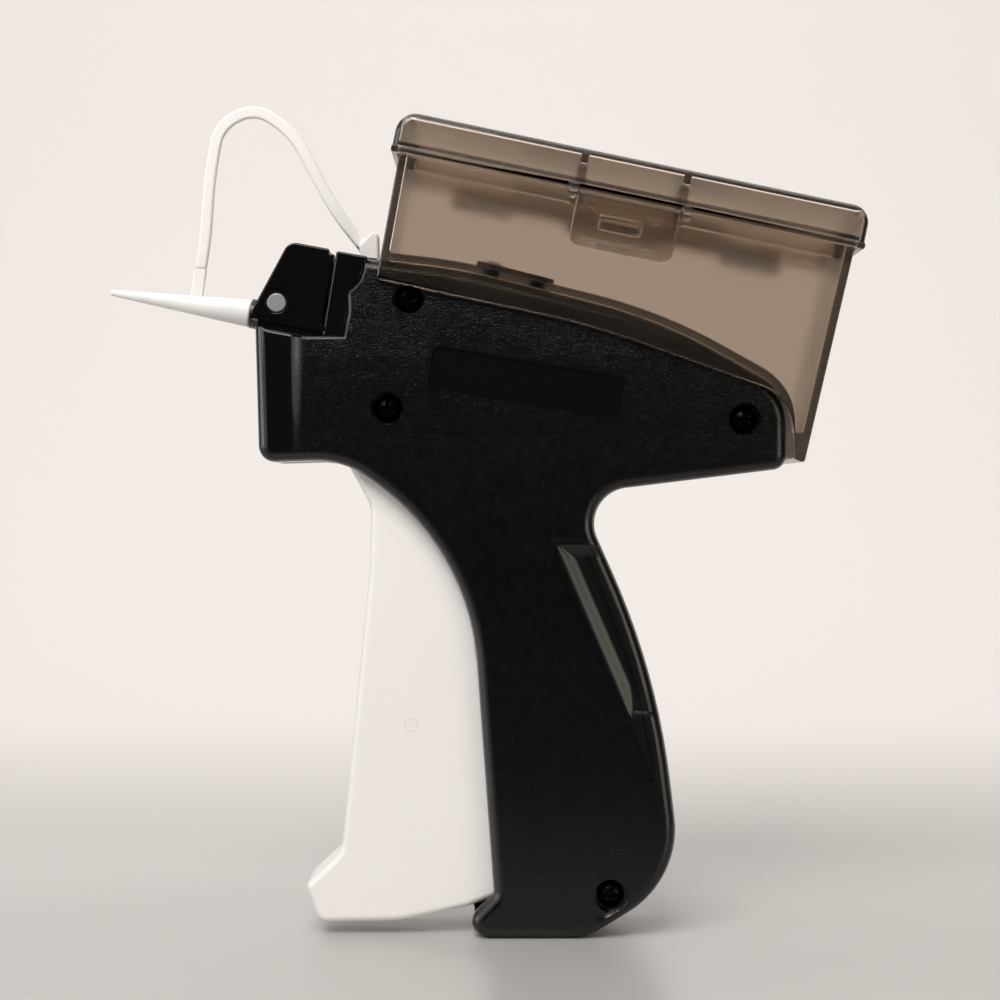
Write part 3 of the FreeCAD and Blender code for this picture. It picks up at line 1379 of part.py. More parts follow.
def write_all():
    """Check every piece and write it as a STEP file."""
    doc.recompute()
    for item in doc.Objects:
        if "Invalid" in item.State or "Error" in item.State:
            raise RuntimeError(f"{item.Label}: {item.State}")
    os.makedirs("parts", exist_ok=True)
    for piece in pieces:
        shape = piece.Shape
        if shape.isNull() or not shape.isValid() or not shape.Solids:
            raise RuntimeError(f"{piece.Label} is no valid solid")
        shape.exportStep(f"parts/{piece.Label}.step")
        print(f"{piece.Label}: {len(shape.Solids)} solid(s), {shape.Volume:.1f} mm3")


build_all()
write_all()
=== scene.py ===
"""Looks of a garment tag attacher.

Finishes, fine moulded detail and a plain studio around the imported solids.
"""

import json
import logging
import math
from dataclasses import dataclass, field
from enum import Enum
from typing import Iterable, Optional, Union

import bmesh
import bpy
from mathutils import Matrix, Vector


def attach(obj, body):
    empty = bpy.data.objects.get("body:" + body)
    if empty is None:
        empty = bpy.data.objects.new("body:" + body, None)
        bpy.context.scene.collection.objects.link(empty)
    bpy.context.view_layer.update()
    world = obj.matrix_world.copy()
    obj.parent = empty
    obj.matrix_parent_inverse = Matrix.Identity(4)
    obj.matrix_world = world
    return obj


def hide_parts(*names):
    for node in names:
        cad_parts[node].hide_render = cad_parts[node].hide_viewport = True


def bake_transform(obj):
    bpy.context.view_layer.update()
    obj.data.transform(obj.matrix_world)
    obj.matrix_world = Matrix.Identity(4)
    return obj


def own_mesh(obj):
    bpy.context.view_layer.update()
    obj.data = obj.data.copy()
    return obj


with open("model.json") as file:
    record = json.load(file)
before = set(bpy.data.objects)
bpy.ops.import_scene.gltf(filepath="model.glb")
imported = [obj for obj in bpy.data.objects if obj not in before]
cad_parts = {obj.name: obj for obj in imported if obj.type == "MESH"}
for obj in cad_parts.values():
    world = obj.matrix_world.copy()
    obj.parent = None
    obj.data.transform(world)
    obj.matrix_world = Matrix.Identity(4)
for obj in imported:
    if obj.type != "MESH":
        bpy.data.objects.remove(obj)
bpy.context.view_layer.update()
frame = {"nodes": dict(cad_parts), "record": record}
LOG = logging.getLogger("tag_attacher")
MM = 0.001
BODIES: dict[str, list[str]] = frame["record"]["behaviour"]["bodies"]

NOISE_SPAN = (0.3, 0.7)         # nearly all of a noise lies in here
EASED_SLOPE = 1.5               # steepest slope of an eased step, against a straight one
MERGE_GAP = 2e-6                # metres between corners that are one
FLAT_ANGLE = math.radians(0.5)  # faces that turn less than this are one
SCREW_INPUTS = ("Head Radius", "Head Height", "Shank Radius", "Shank Length", "Recess")


# ---------- node trees

def linear(colour: str) -> tuple[float, float, float, float]:
    """Turn an sRGB hex colour into linear light.

    Args:
        colour: six hex digits after a hash.

    Returns:
        Red, green, blue and an alpha of 1.
    """
    parts = [int(colour[i:i + 2], 16) / 255 for i in (1, 3, 5)]
    # the standard's curve: a straight foot with a power curve above it
    light = [part / 12.92 if part <= 0.04045 else ((part + 0.055) / 1.055) ** 2.4
             for part in parts]
    return light[0], light[1], light[2], 1.0


def add_node(tree: bpy.types.NodeTree, kind: str, settings: Optional[dict] = None,
             inputs: Optional[dict] = None) -> bpy.types.Node:
    """Add a node with its settings, and set or link its inputs.

    Args:
        tree: the tree that gets the node.
        kind: the node's type name.
        settings: attributes of the node.
        inputs: values or output sockets by input name or number.

    Returns:
        The new node.
    """
    node = tree.nodes.new(kind)
    for name, value in (settings or {}).items():
        setattr(node, name, value)
    for name, value in (inputs or {}).items():
        if isinstance(value, bpy.types.NodeSocket):
            tree.links.new(value, node.inputs[name])
        else:
            node.inputs[name].default_value = value
    return node


class Signal:
    """A number that varies over a surface: an output socket of a tree that takes part in sums."""

    def __init__(self, tree: bpy.types.NodeTree, socket: bpy.types.NodeSocket) -> None:
        """Wrap an output socket of a tree."""
        self.tree = tree
        self.socket = socket

    def math(self, operation: str, other: Union["Signal", float] = 0.0) -> "Signal":
        """Apply a math node.

        Args:
            operation: the node's operation.
            other: its second input.

        Returns:
            The result.
        """
        second = other.socket if isinstance(other, Signal) else other
        node = add_node(self.tree, "ShaderNodeMath", {"operation": operation}, {
            0: self.socket, 1: second})
        return Signal(self.tree, node.outputs[0])

    def __add__(self, other: Union["Signal", float]) -> "Signal":
        """Sum with another signal or a number."""
        return self.math("ADD", other)

    def __mul__(self, other: Union["Signal", float]) -> "Signal":
        """Product with another signal or a number."""
        return self.math("MULTIPLY", other)

    def size(self) -> "Signal":
        """Value without its sign."""
        return self.math("ABSOLUTE")

    def ramp(self, low: float, high: float, start: float = 0.0, stop: float = 1.0) -> "Signal":
        """Rise from one value to another while this signal goes from low to high.

        Args:
            low: where the rise starts.
            high: where it ends.
            start: value below low.
            stop: value above high.

        Returns:
            The ramp, level outside of it.
        """
        node = add_node(self.tree, "ShaderNodeMapRange", {"clamp": True}, {
            "Value": self.socket, "From Min": low, "From Max": high,
            "To Min": start, "To Max": stop})
        return Signal(self.tree, node.outputs["Result"])

    def spread(self, start: float, stop: float) -> "Signal":
        """Spread a noise over the values from start to stop."""
        return self.ramp(*NOISE_SPAN, start, stop)

    def within(self, reach: float, soft: float) -> "Signal":
        """Be 1 where the value without its sign is under a reach, else 0, with a soft border."""
        return self.size().ramp(reach - soft, reach + soft, 1.0, 0.0)

    def eased(self) -> "Signal":
        """Turn a level from 0 to 1 into one that starts and ends gently."""
        level = self.math("MAXIMUM", 0.0).math("MINIMUM", 1.0)
        return level * level * (level * -2.0 + 3.0)


@dataclass
class Surface:
    """A material under construction: a Principled shader, its tree and the object's coordinates."""

    name: str
    colour: str
    ior: Optional[float] = None
    material: bpy.types.Material = field(init=False)
    tree: bpy.types.NodeTree = field(init=False)
    shader: bpy.types.Node = field(init=False)
    output: bpy.types.Node = field(init=False)
    place: bpy.types.NodeSocket = field(init=False)

    def __post_init__(self) -> None:
        """Start the material with its shader, colour and coordinates."""
        self.material = bpy.data.materials.new(self.name)
        self.material.use_nodes = True
        self.tree = self.material.node_tree
        self.tree.nodes.clear()
        self.shader = add_node(self.tree, "ShaderNodeBsdfPrincipled", inputs={
            "Base Color": linear(self.colour)})
        if self.ior is not None:
            self.shader.inputs["IOR"].default_value = self.ior
        self.output = add_node(self.tree, "ShaderNodeOutputMaterial", inputs={
            "Surface": self.shader.outputs["BSDF"]})
        self.place = add_node(self.tree, "ShaderNodeTexCoord").outputs["Object"]

    def axes(self) -> tuple[Signal, Signal, Signal]:
        """Give the object's coordinates in millimetres.

        Returns:
            X, Y and Z.
        """
        split = add_node(self.tree, "ShaderNodeSeparateXYZ", inputs={"Vector": self.place})
        x, y, z = (Signal(self.tree, split.outputs[axis]) * (1 / MM) for axis in "XYZ")
        return x, y, z

    def noise(self, grain_mm: float, detail: float = 2.0, rough: float = 0.5) -> Signal:
        """Add cloudy noise with a real grain size.

        Args:
            grain_mm: size of its largest spots in millimetres.
            detail: how many finer layers it has.
            rough: how strong these are.

        Returns:
            The noise, mostly inside NOISE_SPAN.
        """
        node = add_node(self.tree, "ShaderNodeTexNoise", inputs={
            "Vector": self.place, "Scale": 1 / (grain_mm * MM), "Detail": detail,
            "Roughness": rough})
        return Signal(self.tree, node.outputs["Fac"])

    def roughness(self, value: Signal) -> None:
        """Let the roughness follow a signal."""
        self.tree.links.new(value.socket, self.shader.inputs["Roughness"])

    def uneven(self, pattern: Signal, middle: float, spread: tuple[float, float]) -> None:
        """Let the roughness follow a noise, from a little under a value to a little over it."""
        self.roughness(pattern.spread(middle - spread[0], middle + spread[1]))

    def relief(self, *layers: tuple[Signal, float]) -> None:
        """Let heights shape the surface's shading.

        Args:
            layers: pairs of a height signal and the millimetres that it stands for at 1.
        """
        first, *others = [height * deep for height, deep in layers]
        bump = add_node(self.tree, "ShaderNodeBump", inputs={
            "Height": sum(others, first).socket, "Strength": 1.0, "Distance": MM})
        self.tree.links.new(bump.outputs["Normal"], self.shader.inputs["Normal"])


# ---------- finishes

class Grain(Enum):
    """How a mould's wall was finished, with the depth of its grain in millimetres."""

    BLASTED = 0.006
    POLISHED = 0.0


@dataclass(frozen=True)
class MouldedPlastic:
    """Opaque plastic, coloured through: the eye sees its colour and how sharp lamps are in it."""

    name: str
    colour: str
    roughness: float
    grain: Grain
    glow: float = 0.0
    ior: float = 1.5
    glow_tint: tuple[float, float, float] = (1.0, 0.9, 0.8)
    glow_mm: float = 1.2
    handled_mm: float = 11.0
    handled: tuple[float, float] = (0.04, 0.05)
    sink_mm: float = 7.0
    sink_deep: float = 0.02
    blast_mm: float = 0.3

    def build(self) -> bpy.types.Material:
        """Build the material.

        Returns:
            The finished material.
        """
        surface = Surface(self.name, self.colour, self.ior)
        if self.glow:
            # light that goes in and comes out again close by softens the shading of pale plastic
            sockets = surface.shader.inputs
            sockets["Subsurface Weight"].default_value = self.glow
            sockets["Subsurface Radius"].default_value = self.glow_tint
            sockets["Subsurface Scale"].default_value = self.glow_mm * MM
        # uneven shine, as hands and the mould leave it
        surface.uneven(surface.noise(self.handled_mm), self.roughness, self.handled)
        if self.grain is Grain.POLISHED:
            # faint sink marks over the ribs bend the reflections a little
            surface.relief((surface.noise(self.sink_mm, 1.0), self.sink_deep))
        else:
            surface.relief((surface.noise(self.blast_mm, 3.0, 0.6), self.grain.value))
        return surface.material


@dataclass(frozen=True)
class TexturedAbs:
    """Black ABS of the shells: spark-textured sides, polished nose, palm and oblong recess.

    Places are in millimetres in the row frame, as (x, z), or as a span from start to end.
    """

    name: str = "abs_black_spark_textured"
    colour: str = "#070708"
    ior: float = 1.5
    # three pixels of the camera's frame, about the finest that still shows
    grain_mm: float = 0.6
    grain_deep: float = 0.17
    grain_level: float = 0.07
    worn_span: tuple[float, float] = (65.0, 112.0)
    worn_share: float = 0.4
    patch_mm: float = 1.7
    sides_rough: tuple[float, float] = (0.14, 0.24)
    nose_rough: float = 0.16
    palm_rough: float = 0.29
    panel_rough: float = 0.2
    border: float = 0.4
    nose_line: float = -46.6
    nose_step: float = 2.6
    nose_side: tuple[float, float] = (11.0, 12.0)
    nose_fade: tuple[float, float] = (98.0, 113.0)
    nose_low_share: float = 0.35
    nose_high: float = 0.9
    swell_start: float = -55.0
    swell_long: float = 8.0
    swell_high: float = 0.5
    panel: tuple[float, float] = (-3.3, 108.0)
    panel_half: tuple[float, float] = (18.9, 4.05)
    panel_tilt: float = 9.5
    panel_side: tuple[float, float] = (11.9, 12.2)
    palm_point: tuple[float, float] = (12.8, 51.1)
    palm_lean: float = 0.43
    palm_middle: float = 52.5
    palm_half: float = 25.5
    palm_front: float = 0.2
    palm_side: tuple[float, float] = (8.0, 9.0)
    palm_slope: float = 0.45
    palm_rim: float = 0.5
    band: float = 3.1
    band_least: float = 0.4
    band_foot: tuple[float, float] = (41.0, 50.0)
    band_top: tuple[float, float] = (73.6, 77.2)
    band_fade: tuple[float, float] = (0.5, 1.3)
    band_lead: float = 0.1

    def build(self) -> bpy.types.Material:
        """Build the material.

        Returns:
            The finished material.
        """
        surface = Surface(self.name, self.colour, self.ior)
        x, y, z = surface.axes()
        nose = x.ramp(self.nose_line - self.nose_step, self.nose_line, 1.0, 0.0)
        panel = self.panel_mask(x, z) * y.size().ramp(*self.panel_side)
        palm, scoop = self.palm_recess(x, y, z)
        smooth_places = nose.math("MAXIMUM", palm)
        textured = smooth_places.math("MAXIMUM", panel).ramp(0.0, 1.0, 1.0, 0.0)
        # worm-like ridges of the spark-eroded mould: their flanks catch the lamps as small glints
        worms = (surface.noise(self.grain_mm, 3.0, 0.6) + -0.5).size()
        ridges = worms * -1.0 + self.grain_level
        # hands have worn the grip smoother than the head
        worn = z.ramp(*self.worn_span, self.worn_share, 1.0)
        surface.relief((ridges * textured * worn, self.grain_deep), (scoop, 1.0),
                       (self.nose_rise(x, y, z), 1.0))
        sides = surface.noise(self.patch_mm).spread(*self.sides_rough) * textured
        surface.roughness(sides + nose * self.nose_rough + palm * self.palm_rough
                          + panel * self.panel_rough)
        return surface.material

    def nose_rise(self, x: Signal, y: Signal, z: Signal) -> Signal:
        """Shape the soft step where the polished nose meets the textured side.

        Args:
            x: rearwards, in millimetres.
            y: across, in millimetres.
            z: upwards, in millimetres.

        Returns:
            A height in millimetres.
        """
        step = (x + (self.nose_step - self.nose_line)) * (1 / self.nose_step)
        swell = (x + -self.swell_start) * (1 / self.swell_long)
        rise = step.eased() * z.ramp(*self.nose_fade, self.nose_low_share, 1.0) * self.nose_high
        return (rise + swell.eased() * self.swell_high) * y.size().ramp(*self.nose_side)

    def panel_mask(self, x: Signal, z: Signal) -> Signal:
        """Find the oblong recess.

        Args:
            x: rearwards, in millimetres.
            z: upwards, in millimetres.

        Returns:
            1 in the recess.
        """
        lean = math.radians(self.panel_tilt)
        right, up = x + -self.panel[0], z + -self.panel[1]
        along = right * math.cos(lean) + up * -math.sin(lean)
        above = right * math.sin(lean) + up * math.cos(lean)
        return (along.within(self.panel_half[0], self.border)
                * above.within(self.panel_half[1], self.border))

    def palm_recess(self, x: Signal, y: Signal, z: Signal) -> tuple[Signal, Signal]:
        """Find the palm recess and shape its scooped floor.

        Args:
            x: rearwards, in millimetres.
            y: across, in millimetres.
            z: upwards, in millimetres.

        Returns:
            1 in the recess, and a height in millimetres.
        """
        corner = self.palm_point[0] + self.palm_lean * self.palm_point[1]
        beyond = x + z * self.palm_lean + -corner
        level = (z + -self.palm_middle).within(self.palm_half, self.border)
        front = beyond.ramp(-self.palm_front, self.palm_front)
        mask = front * level * y.size().ramp(*self.palm_side)
        # the floor falls to the back in a band along the recess's front edge, which runs out
        # at the bottom
        ends = z.ramp(*self.band_foot).eased() * z.ramp(*self.band_top, 1.0, 0.0).eased()
        width = ends * self.band + self.band_least
        fall = ((beyond + -self.palm_rim).math("DIVIDE", width) + self.band_lead).eased()
        steep = -self.palm_slope / EASED_SLOPE
        return mask, fall * mask * width * width.ramp(*self.band_fade) * steep


@dataclass(frozen=True)
class SmokedSan:
    """Clear styrene plastic with a brown smoke dye.

    The eye sees thin walls pale, and edges along which it looks dark.
    """

    name: str = "san_smoked"
    colour: str = "#dfd5ca"
    ior: float = 1.57
    roughness: float = 0.2
    flow_mm: float = 16.0
    flow_deep: float = 0.03
    flow_rough: tuple[float, float] = (0.03, 0.03)
    dye: str = "#7a6238"
    dye_per_metre: float = 90.0

    def build(self) -> bpy.types.Material:
        """Build the material.

        Returns:
            The finished material.
        """
        surface = Surface(self.name, self.colour, self.ior)
        surface.shader.inputs["Transmission Weight"].default_value = 1.0
        flow = surface.noise(self.flow_mm, 1.0)
        surface.uneven(flow, self.roughness, self.flow_rough)
        surface.relief((flow, self.flow_deep))
        # the longer the way of light through the plastic, the browner it comes out
        dye = add_node(surface.tree, "ShaderNodeVolumeAbsorption", inputs={
            "Color": linear(self.dye), "Density": self.dye_per_metre})
        surface.tree.links.new(dye.outputs["Volume"], surface.output.inputs["Volume"])
        return surface.material


@dataclass(frozen=True)
class GroundSteel:
    """Turned, drawn or tumbled steel: fine marks spread the lamps' highlights on the metal."""

    name: str
    colour: str = "#b4b6ba"
    roughness: float = 0.3
    marks_mm: float = 0.25
    marks_deep: float = 0.004
    marks_rough: tuple[float, float] = (0.08, 0.1)

    def build(self) -> bpy.types.Material:
        """Build the material.

        Returns:
            The finished material.
        """
        surface = Surface(self.name, self.colour)
        surface.shader.inputs["Metallic"].default_value = 1.0
        marks = surface.noise(self.marks_mm)
        surface.uneven(marks, self.roughness, self.marks_rough)
        surface.relief((marks, self.marks_deep))
        return surface.material


@dataclass(frozen=True)
class Finishes:
    """Every material of the tool, built once."""

    # sides full of small glints, with lamps mirrored in the nose and softly in the palm recess
    body: bpy.types.Material = field(default_factory=TexturedAbs().build)
    # black that shows little but the lamps in it
    gloss: bpy.types.Material = field(default_factory=MouldedPlastic(
        "abs_black_polished", "#060607", 0.14, Grain.POLISHED).build)
    # satin white with broad highlights and softened shading
    white: bpy.types.Material = field(default_factory=MouldedPlastic(
        "polypropylene_white", "#f4f2f1", 0.42, Grain.BLASTED, 0.15).build)
    # milky and yellower than the white, a little shinier
    acetal: bpy.types.Material = field(default_factory=MouldedPlastic(
        "acetal_natural", "#dedbd0", 0.34, Grain.BLASTED, 0.1).build)
    # clear brown, dark along the edges
    smoked: bpy.types.Material = field(default_factory=SmokedSan().build)
    # bright grey with spread highlights
    steel: bpy.types.Material = field(default_factory=GroundSteel("steel_ground").build)
    # even grey without a clear reflection
    dull_steel: bpy.types.Material = field(default_factory=GroundSteel(
        "steel_tumbled", "#a3a5a8", 0.5).build)
    # nearly black, with highlights on the crowns of the heads
    screw: bpy.types.Material = field(default_factory=GroundSteel(
        "steel_blackened", "#17171a").build)


# ---------- pieces

def in_scene(data: bpy.types.ID, name: str) -> bpy.types.Object:
    """Put a mesh, lamp or camera into the scene at the origin.

    Args:
        data: what the object holds.
        name: the object's name.

    Returns:
        The object.
    """
    thing = bpy.data.objects.new(name, data)
    bpy.context.scene.collection.objects.link(thing)
    return thing


def shade_smooth(mesh: bpy.types.Mesh) -> None:
    """Shade every face of a mesh smoothly."""
    mesh.polygons.foreach_set("use_smooth", [True] * len(mesh.polygons))


def moulded_copy(node: str) -> bpy.types.Mesh:
    """Copy a CAD node's mesh with shared corners and with flat faces joined.

    Args:
        node: the CAD node.

    Returns:
        The mesh, in the row frame.
    """
    mesh = frame["nodes"][node].data.copy()
    mesh.name = f"{node}_skin"
    work = bmesh.new()
    work.from_mesh(mesh)
    bmesh.ops.remove_doubles(work, verts=work.verts, dist=MERGE_GAP)
    bmesh.ops.dissolve_limit(work, angle_limit=FLAT_ANGLE, verts=work.verts, edges=work.edges)
    work.to_mesh(mesh)
    work.free()
    mesh.materials.clear()
    return mesh


def joined(meshes: Iterable[bpy.types.Mesh], name: str) -> bpy.types.Mesh:
    """Put several meshes into one.

    Args:
        meshes: the meshes, which are used up.
        name: the new mesh's name.

    Returns:
        The new mesh.
    """
    whole = bmesh.new()
    for mesh in meshes:
        whole.from_mesh(mesh)
        bpy.data.meshes.remove(mesh)
    result = bpy.data.meshes.new(name)
    whole.to_mesh(result)
    whole.free()
    return result


@dataclass(frozen=True)
class Bend:
    """How a springy piece reaches from its own body to another one.

    It leaves the first at start and joins the second at end, as (x, z) in millimetres.
    """

    body: str
    start: tuple[float, float]
    end: tuple[float, float]


@dataclass
class SubAssembly:
    """Pieces of the tool that belong together: the base of every sub-assembly class.

    Sizes are in millimetres and angles in degrees, here and in the classes that follow.
    """

    finishes: Finishes
    free_radius: float = field(default=0.3, kw_only=True)
    sharp_angle: float = field(default=32.0, kw_only=True)
    bevel_angle: float = field(default=40.0, kw_only=True)
    bevel_steps: int = field(default=2, kw_only=True)
    flat_weight: int = field(default=100, kw_only=True)

    def add(self, mesh: bpy.types.Mesh, material: bpy.types.Material, slot: str,
            nodes: Iterable[str], edge: float = 0.0, bend: Optional[Bend] = None
            ) -> bpy.types.Object:
        """Add a finished piece that stands for CAD nodes of one body.

        Args:
            mesh: its mesh, in the row frame.
            material: its finish.
            slot: not used.
            nodes: the CAD nodes that it stands for.
            edge: radius of its edges in millimetres.
            bend: how it reaches to another body, if it does.

        Returns:
            The piece.
        """
        held = list(nodes)
        piece = in_scene(mesh, mesh.name)
        mesh.materials.clear()
        mesh.materials.append(material)
        shade_smooth(mesh)
        mesh.set_sharp_from_angle(angle=math.radians(self.sharp_angle))
        if edge:
            # a fine radius is held back by short faces
            rounding = self.bevel(piece, "edge_radius", edge, "ANGLE", edge < self.free_radius)
            rounding.angle_limit = math.radians(self.bevel_angle)
        level = piece.modifiers.new("level_faces", "WEIGHTED_NORMAL")
        level.keep_sharp = True
        level.weight = self.flat_weight
        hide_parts(*held)
        body = next(name for name, nodes_held in BODIES.items() if held[0] in nodes_held)
        if bend is None:
            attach(piece, body)
        else:
            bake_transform(piece)
        LOG.info("piece %s: %d faces", piece.name, len(mesh.polygons))
        return piece

    def copy(self, node: str, material: bpy.types.Material, slot: str, edge: float = 0.0,
             bend: Optional[Bend] = None) -> bpy.types.Object:
        """Add a CAD node as a finished piece of the same form.

        Args:
            node: the CAD node.
            material: its finish.
            slot: the record's material slot.
            edge: radius of its edges in millimetres.
            bend: how it reaches to another body, if it does.

        Returns:
            The piece.
        """
        return self.add(moulded_copy(node), material, slot, [node], edge, bend)

    def bevel(self, piece: bpy.types.Object, name: str, radius: float, limit: str,
              clamp: bool) -> bpy.types.Modifier:
        """Round edges of a piece.

        Args:
            piece: the piece.
            name: the modifier's name.
            radius: in millimetres.
            limit: how the edges are chosen, ANGLE or WEIGHT.
            clamp: whether short faces hold the radius back.

        Returns:
            The modifier.
        """
        bevel = piece.modifiers.new(name, "BEVEL")
        bevel.width = radius * MM
        bevel.segments = self.bevel_steps
        bevel.limit_method = limit
        bevel.harden_normals = True
        bevel.use_clamp_overlap = clamp
        return bevel


# ---------- repeated pieces

@dataclass
class NodeRecipe:
    """A Geometry Nodes tree with named inputs, run once and turned into a plain mesh."""

    name: str
    inputs: tuple[str, ...]
    tree: bpy.types.NodeTree = field(init=False)
    given: bpy.types.NodeOutputs = field(init=False)
    sockets: dict[str, str] = field(init=False, default_factory=dict)

    def __post_init__(self) -> None:
        """Start the tree with its geometry and number inputs."""
        self.tree = bpy.data.node_groups.new(self.name, "GeometryNodeTree")
        face = self.tree.interface
        for side in ("INPUT", "OUTPUT"):
            face.new_socket("Geometry", in_out=side, socket_type="NodeSocketGeometry")
        for name in self.inputs:
            socket = face.new_socket(name, in_out="INPUT", socket_type="NodeSocketFloat")
            self.sockets[name] = socket.identifier
        self.given = add_node(self.tree, "NodeGroupInput").outputs

    def product(self, name: str, factor: float) -> bpy.types.NodeSocket:
        """Multiply a named input by a number."""
        return add_node(self.tree, "ShaderNodeMath", {"operation": "MULTIPLY"}, {
            0: self.given[name], 1: factor}).outputs[0]

    def moved(self, geometry: bpy.types.NodeSocket,
              height: bpy.types.NodeSocket) -> bpy.types.NodeSocket:
        """Lift geometry by a height."""
        lift = add_node(self.tree, "ShaderNodeCombineXYZ", inputs={"Z": height}).outputs[0]
        return add_node(self.tree, "GeometryNodeTransform", inputs={
            "Geometry": geometry, "Translation": lift}).outputs["Geometry"]

    def less(self, solid: bpy.types.NodeSocket,
             tool: bpy.types.NodeSocket) -> bpy.types.NodeSocket:
        """Take a tool's volume away from a solid."""
        settings = {"operation": "DIFFERENCE", "solver": "EXACT"}
        return add_node(self.tree, "GeometryNodeMeshBoolean", settings, {
            "Mesh 1": solid, "Mesh 2": tool}).outputs["Mesh"]

    def close(self, shape: bpy.types.NodeSocket, material: bpy.types.Material) -> None:
        """End the tree in realised instances of a shape, one on each point, with one material.

        Args:
            shape: what stands on each point.
            material: the finish of all of it.
        """
        stood = add_node(self.tree, "GeometryNodeInstanceOnPoints", inputs={
            "Points": self.given["Geometry"], "Instance": shape})
        real = add_node(self.tree, "GeometryNodeRealizeInstances", inputs={
            "Geometry": stood.outputs["Instances"]})
        dressed = add_node(self.tree, "GeometryNodeSetMaterial", inputs={
            "Geometry": real.outputs["Geometry"], "Material": material})
        add_node(self.tree, "NodeGroupOutput", inputs={"Geometry": dressed.outputs["Geometry"]})

    def run(self, name: str, values: dict[str, float], place: Matrix,
            points: Iterable[Vector]) -> bpy.types.Mesh:
        """Run the tree on points and keep the result as a plain mesh.

        Args:
            name: the new mesh's name.
            values: inputs by name, lengths in metres and the rest plain numbers.
            place: from the tree's frame to the row frame.
            points: where instances stand, in metres in the row frame.

        Returns:
            The mesh, in the row frame.
        """
        back = place.inverted()
        seed = bpy.data.meshes.new(f"{name}_points")
        seed.from_pydata([tuple(back @ point) for point in points], [], [])
        carrier = in_scene(seed, f"{name}_carrier")
        modifier = carrier.modifiers.new("nodes", "NODES")
        modifier.node_group = self.tree
        for key, value in values.items():
            modifier[self.sockets[key]] = value
        view = bpy.context.evaluated_depsgraph_get()
        mesh = bpy.data.meshes.new_from_object(carrier.evaluated_get(view))
        carrier.modifiers.remove(modifier)
        bpy.data.objects.remove(carrier)
        mesh.name = name
        mesh.transform(place)
        mesh.polygons.foreach_set("material_index", [0] * len(mesh.polygons))
        return mesh


def screw_recipe(material: bpy.types.Material) -> NodeRecipe:
    """Pan-head screws with a cross recess, their heads standing on the XY plane.

    Args:
        material: the screws' finish.

    Returns:
        The recipe, with sizes in metres.
    """
    recipe = NodeRecipe("pan_head_screw", SCREW_INPUTS)
    tree, given = recipe.tree, recipe.given
    # the recess's arms as shares of the head's radius, and the block that cuts the dome in half
    arm_long, arm_wide, block = 1.15, 0.3, 0.02
    dome = add_node(tree, "GeometryNodeMeshUVSphere", inputs={
        "Segments": 40, "Rings": 20, "Radius": 1.0})
    dome_size = add_node(tree, "ShaderNodeCombineXYZ", inputs={
        "X": given["Head Radius"], "Y": given["Head Radius"], "Z": given["Head Height"]})
    head = add_node(tree, "GeometryNodeTransform", inputs={
        "Geometry": dome.outputs["Mesh"], "Scale": dome_size.outputs[0]})
    cube = add_node(tree, "GeometryNodeMeshCube", inputs={"Size": (block, block, block)})
    lower_half = add_node(tree, "GeometryNodeTransform", inputs={
        "Geometry": cube.outputs["Mesh"], "Translation": (0, 0, -block / 2)})
    crossed = recipe.less(head.outputs["Geometry"], lower_half.outputs["Geometry"])
    long_side = recipe.product("Head Radius", arm_long)
    short_side = recipe.product("Head Radius", arm_wide)
    for long_axis, short_axis in (("X", "Y"), ("Y", "X")):
        size = add_node(tree, "ShaderNodeCombineXYZ", inputs={
            long_axis: long_side, short_axis: short_side, "Z": recipe.product("Recess", 2.0)})
        arm = add_node(tree, "GeometryNodeMeshCube", inputs={"Size": size.outputs[0]})
        crossed = recipe.less(crossed, recipe.moved(arm.outputs["Mesh"], given["Head Height"]))
    shank = add_node(tree, "GeometryNodeMeshCylinder", inputs={
        "Vertices": 24, "Radius": given["Shank Radius"], "Depth": given["Shank Length"]})
    whole = add_node(tree, "GeometryNodeJoinGeometry")
    tree.links.new(crossed, whole.inputs[0])
    tree.links.new(recipe.moved(shank.outputs["Mesh"], recipe.product("Shank Length", -0.5)),
                   whole.inputs[0])
    recipe.close(whole.outputs["Geometry"], material)
    return recipe


@dataclass(frozen=True)
class PanHeads:
    """Equal pan-head screws in millimetres: head and shank as radius and length, and recess."""

    name: str
    head: tuple[float, float]
    shank: tuple[float, float]
    recess: float

    def build(self, recipe: NodeRecipe, place: Matrix, points: Iterable[Vector]) -> bpy.types.Mesh:
        """Build the screws.

        Args:
            recipe: the recipe of a pan-head screw.
            place: from the recipe's frame to the row frame.
            points: the middles of the heads' undersides, in metres in the row frame.

        Returns:
            The screws' mesh.
        """
        sizes = (*self.head, *self.shank, self.recess)
        values = {name: size * MM for name, size in zip(SCREW_INPUTS, sizes)}
        return recipe.run(self.name, values, place, points)


def coil_recipe(material: bpy.types.Material) -> NodeRecipe:
    """Round-wire coils that stand on the XY plane.

    Args:
        material: the wire's finish.

    Returns:
        The recipe, with sizes in metres.
    """
    recipe = NodeRecipe("wire_coil", ("Radius", "Wire", "Length", "Turns"))
    tree, given = recipe.tree, recipe.given
    spiral = add_node(tree, "GeometryNodeCurveSpiral", inputs={
        "Resolution": 28, "Rotations": given["Turns"], "Start Radius": given["Radius"],
        "End Radius": given["Radius"], "Height": given["Length"]})
    section = add_node(tree, "GeometryNodeCurvePrimitiveCircle", inputs={
        "Resolution": 10, "Radius": given["Wire"]})
    wire = add_node(tree, "GeometryNodeCurveToMesh", inputs={
        "Curve": spiral.outputs["Curve"], "Profile Curve": section.outputs["Curve"],
        "Fill Caps": True})
    recipe.close(wire.outputs["Mesh"], material)
    return recipe


# ---------- sub-assemblies

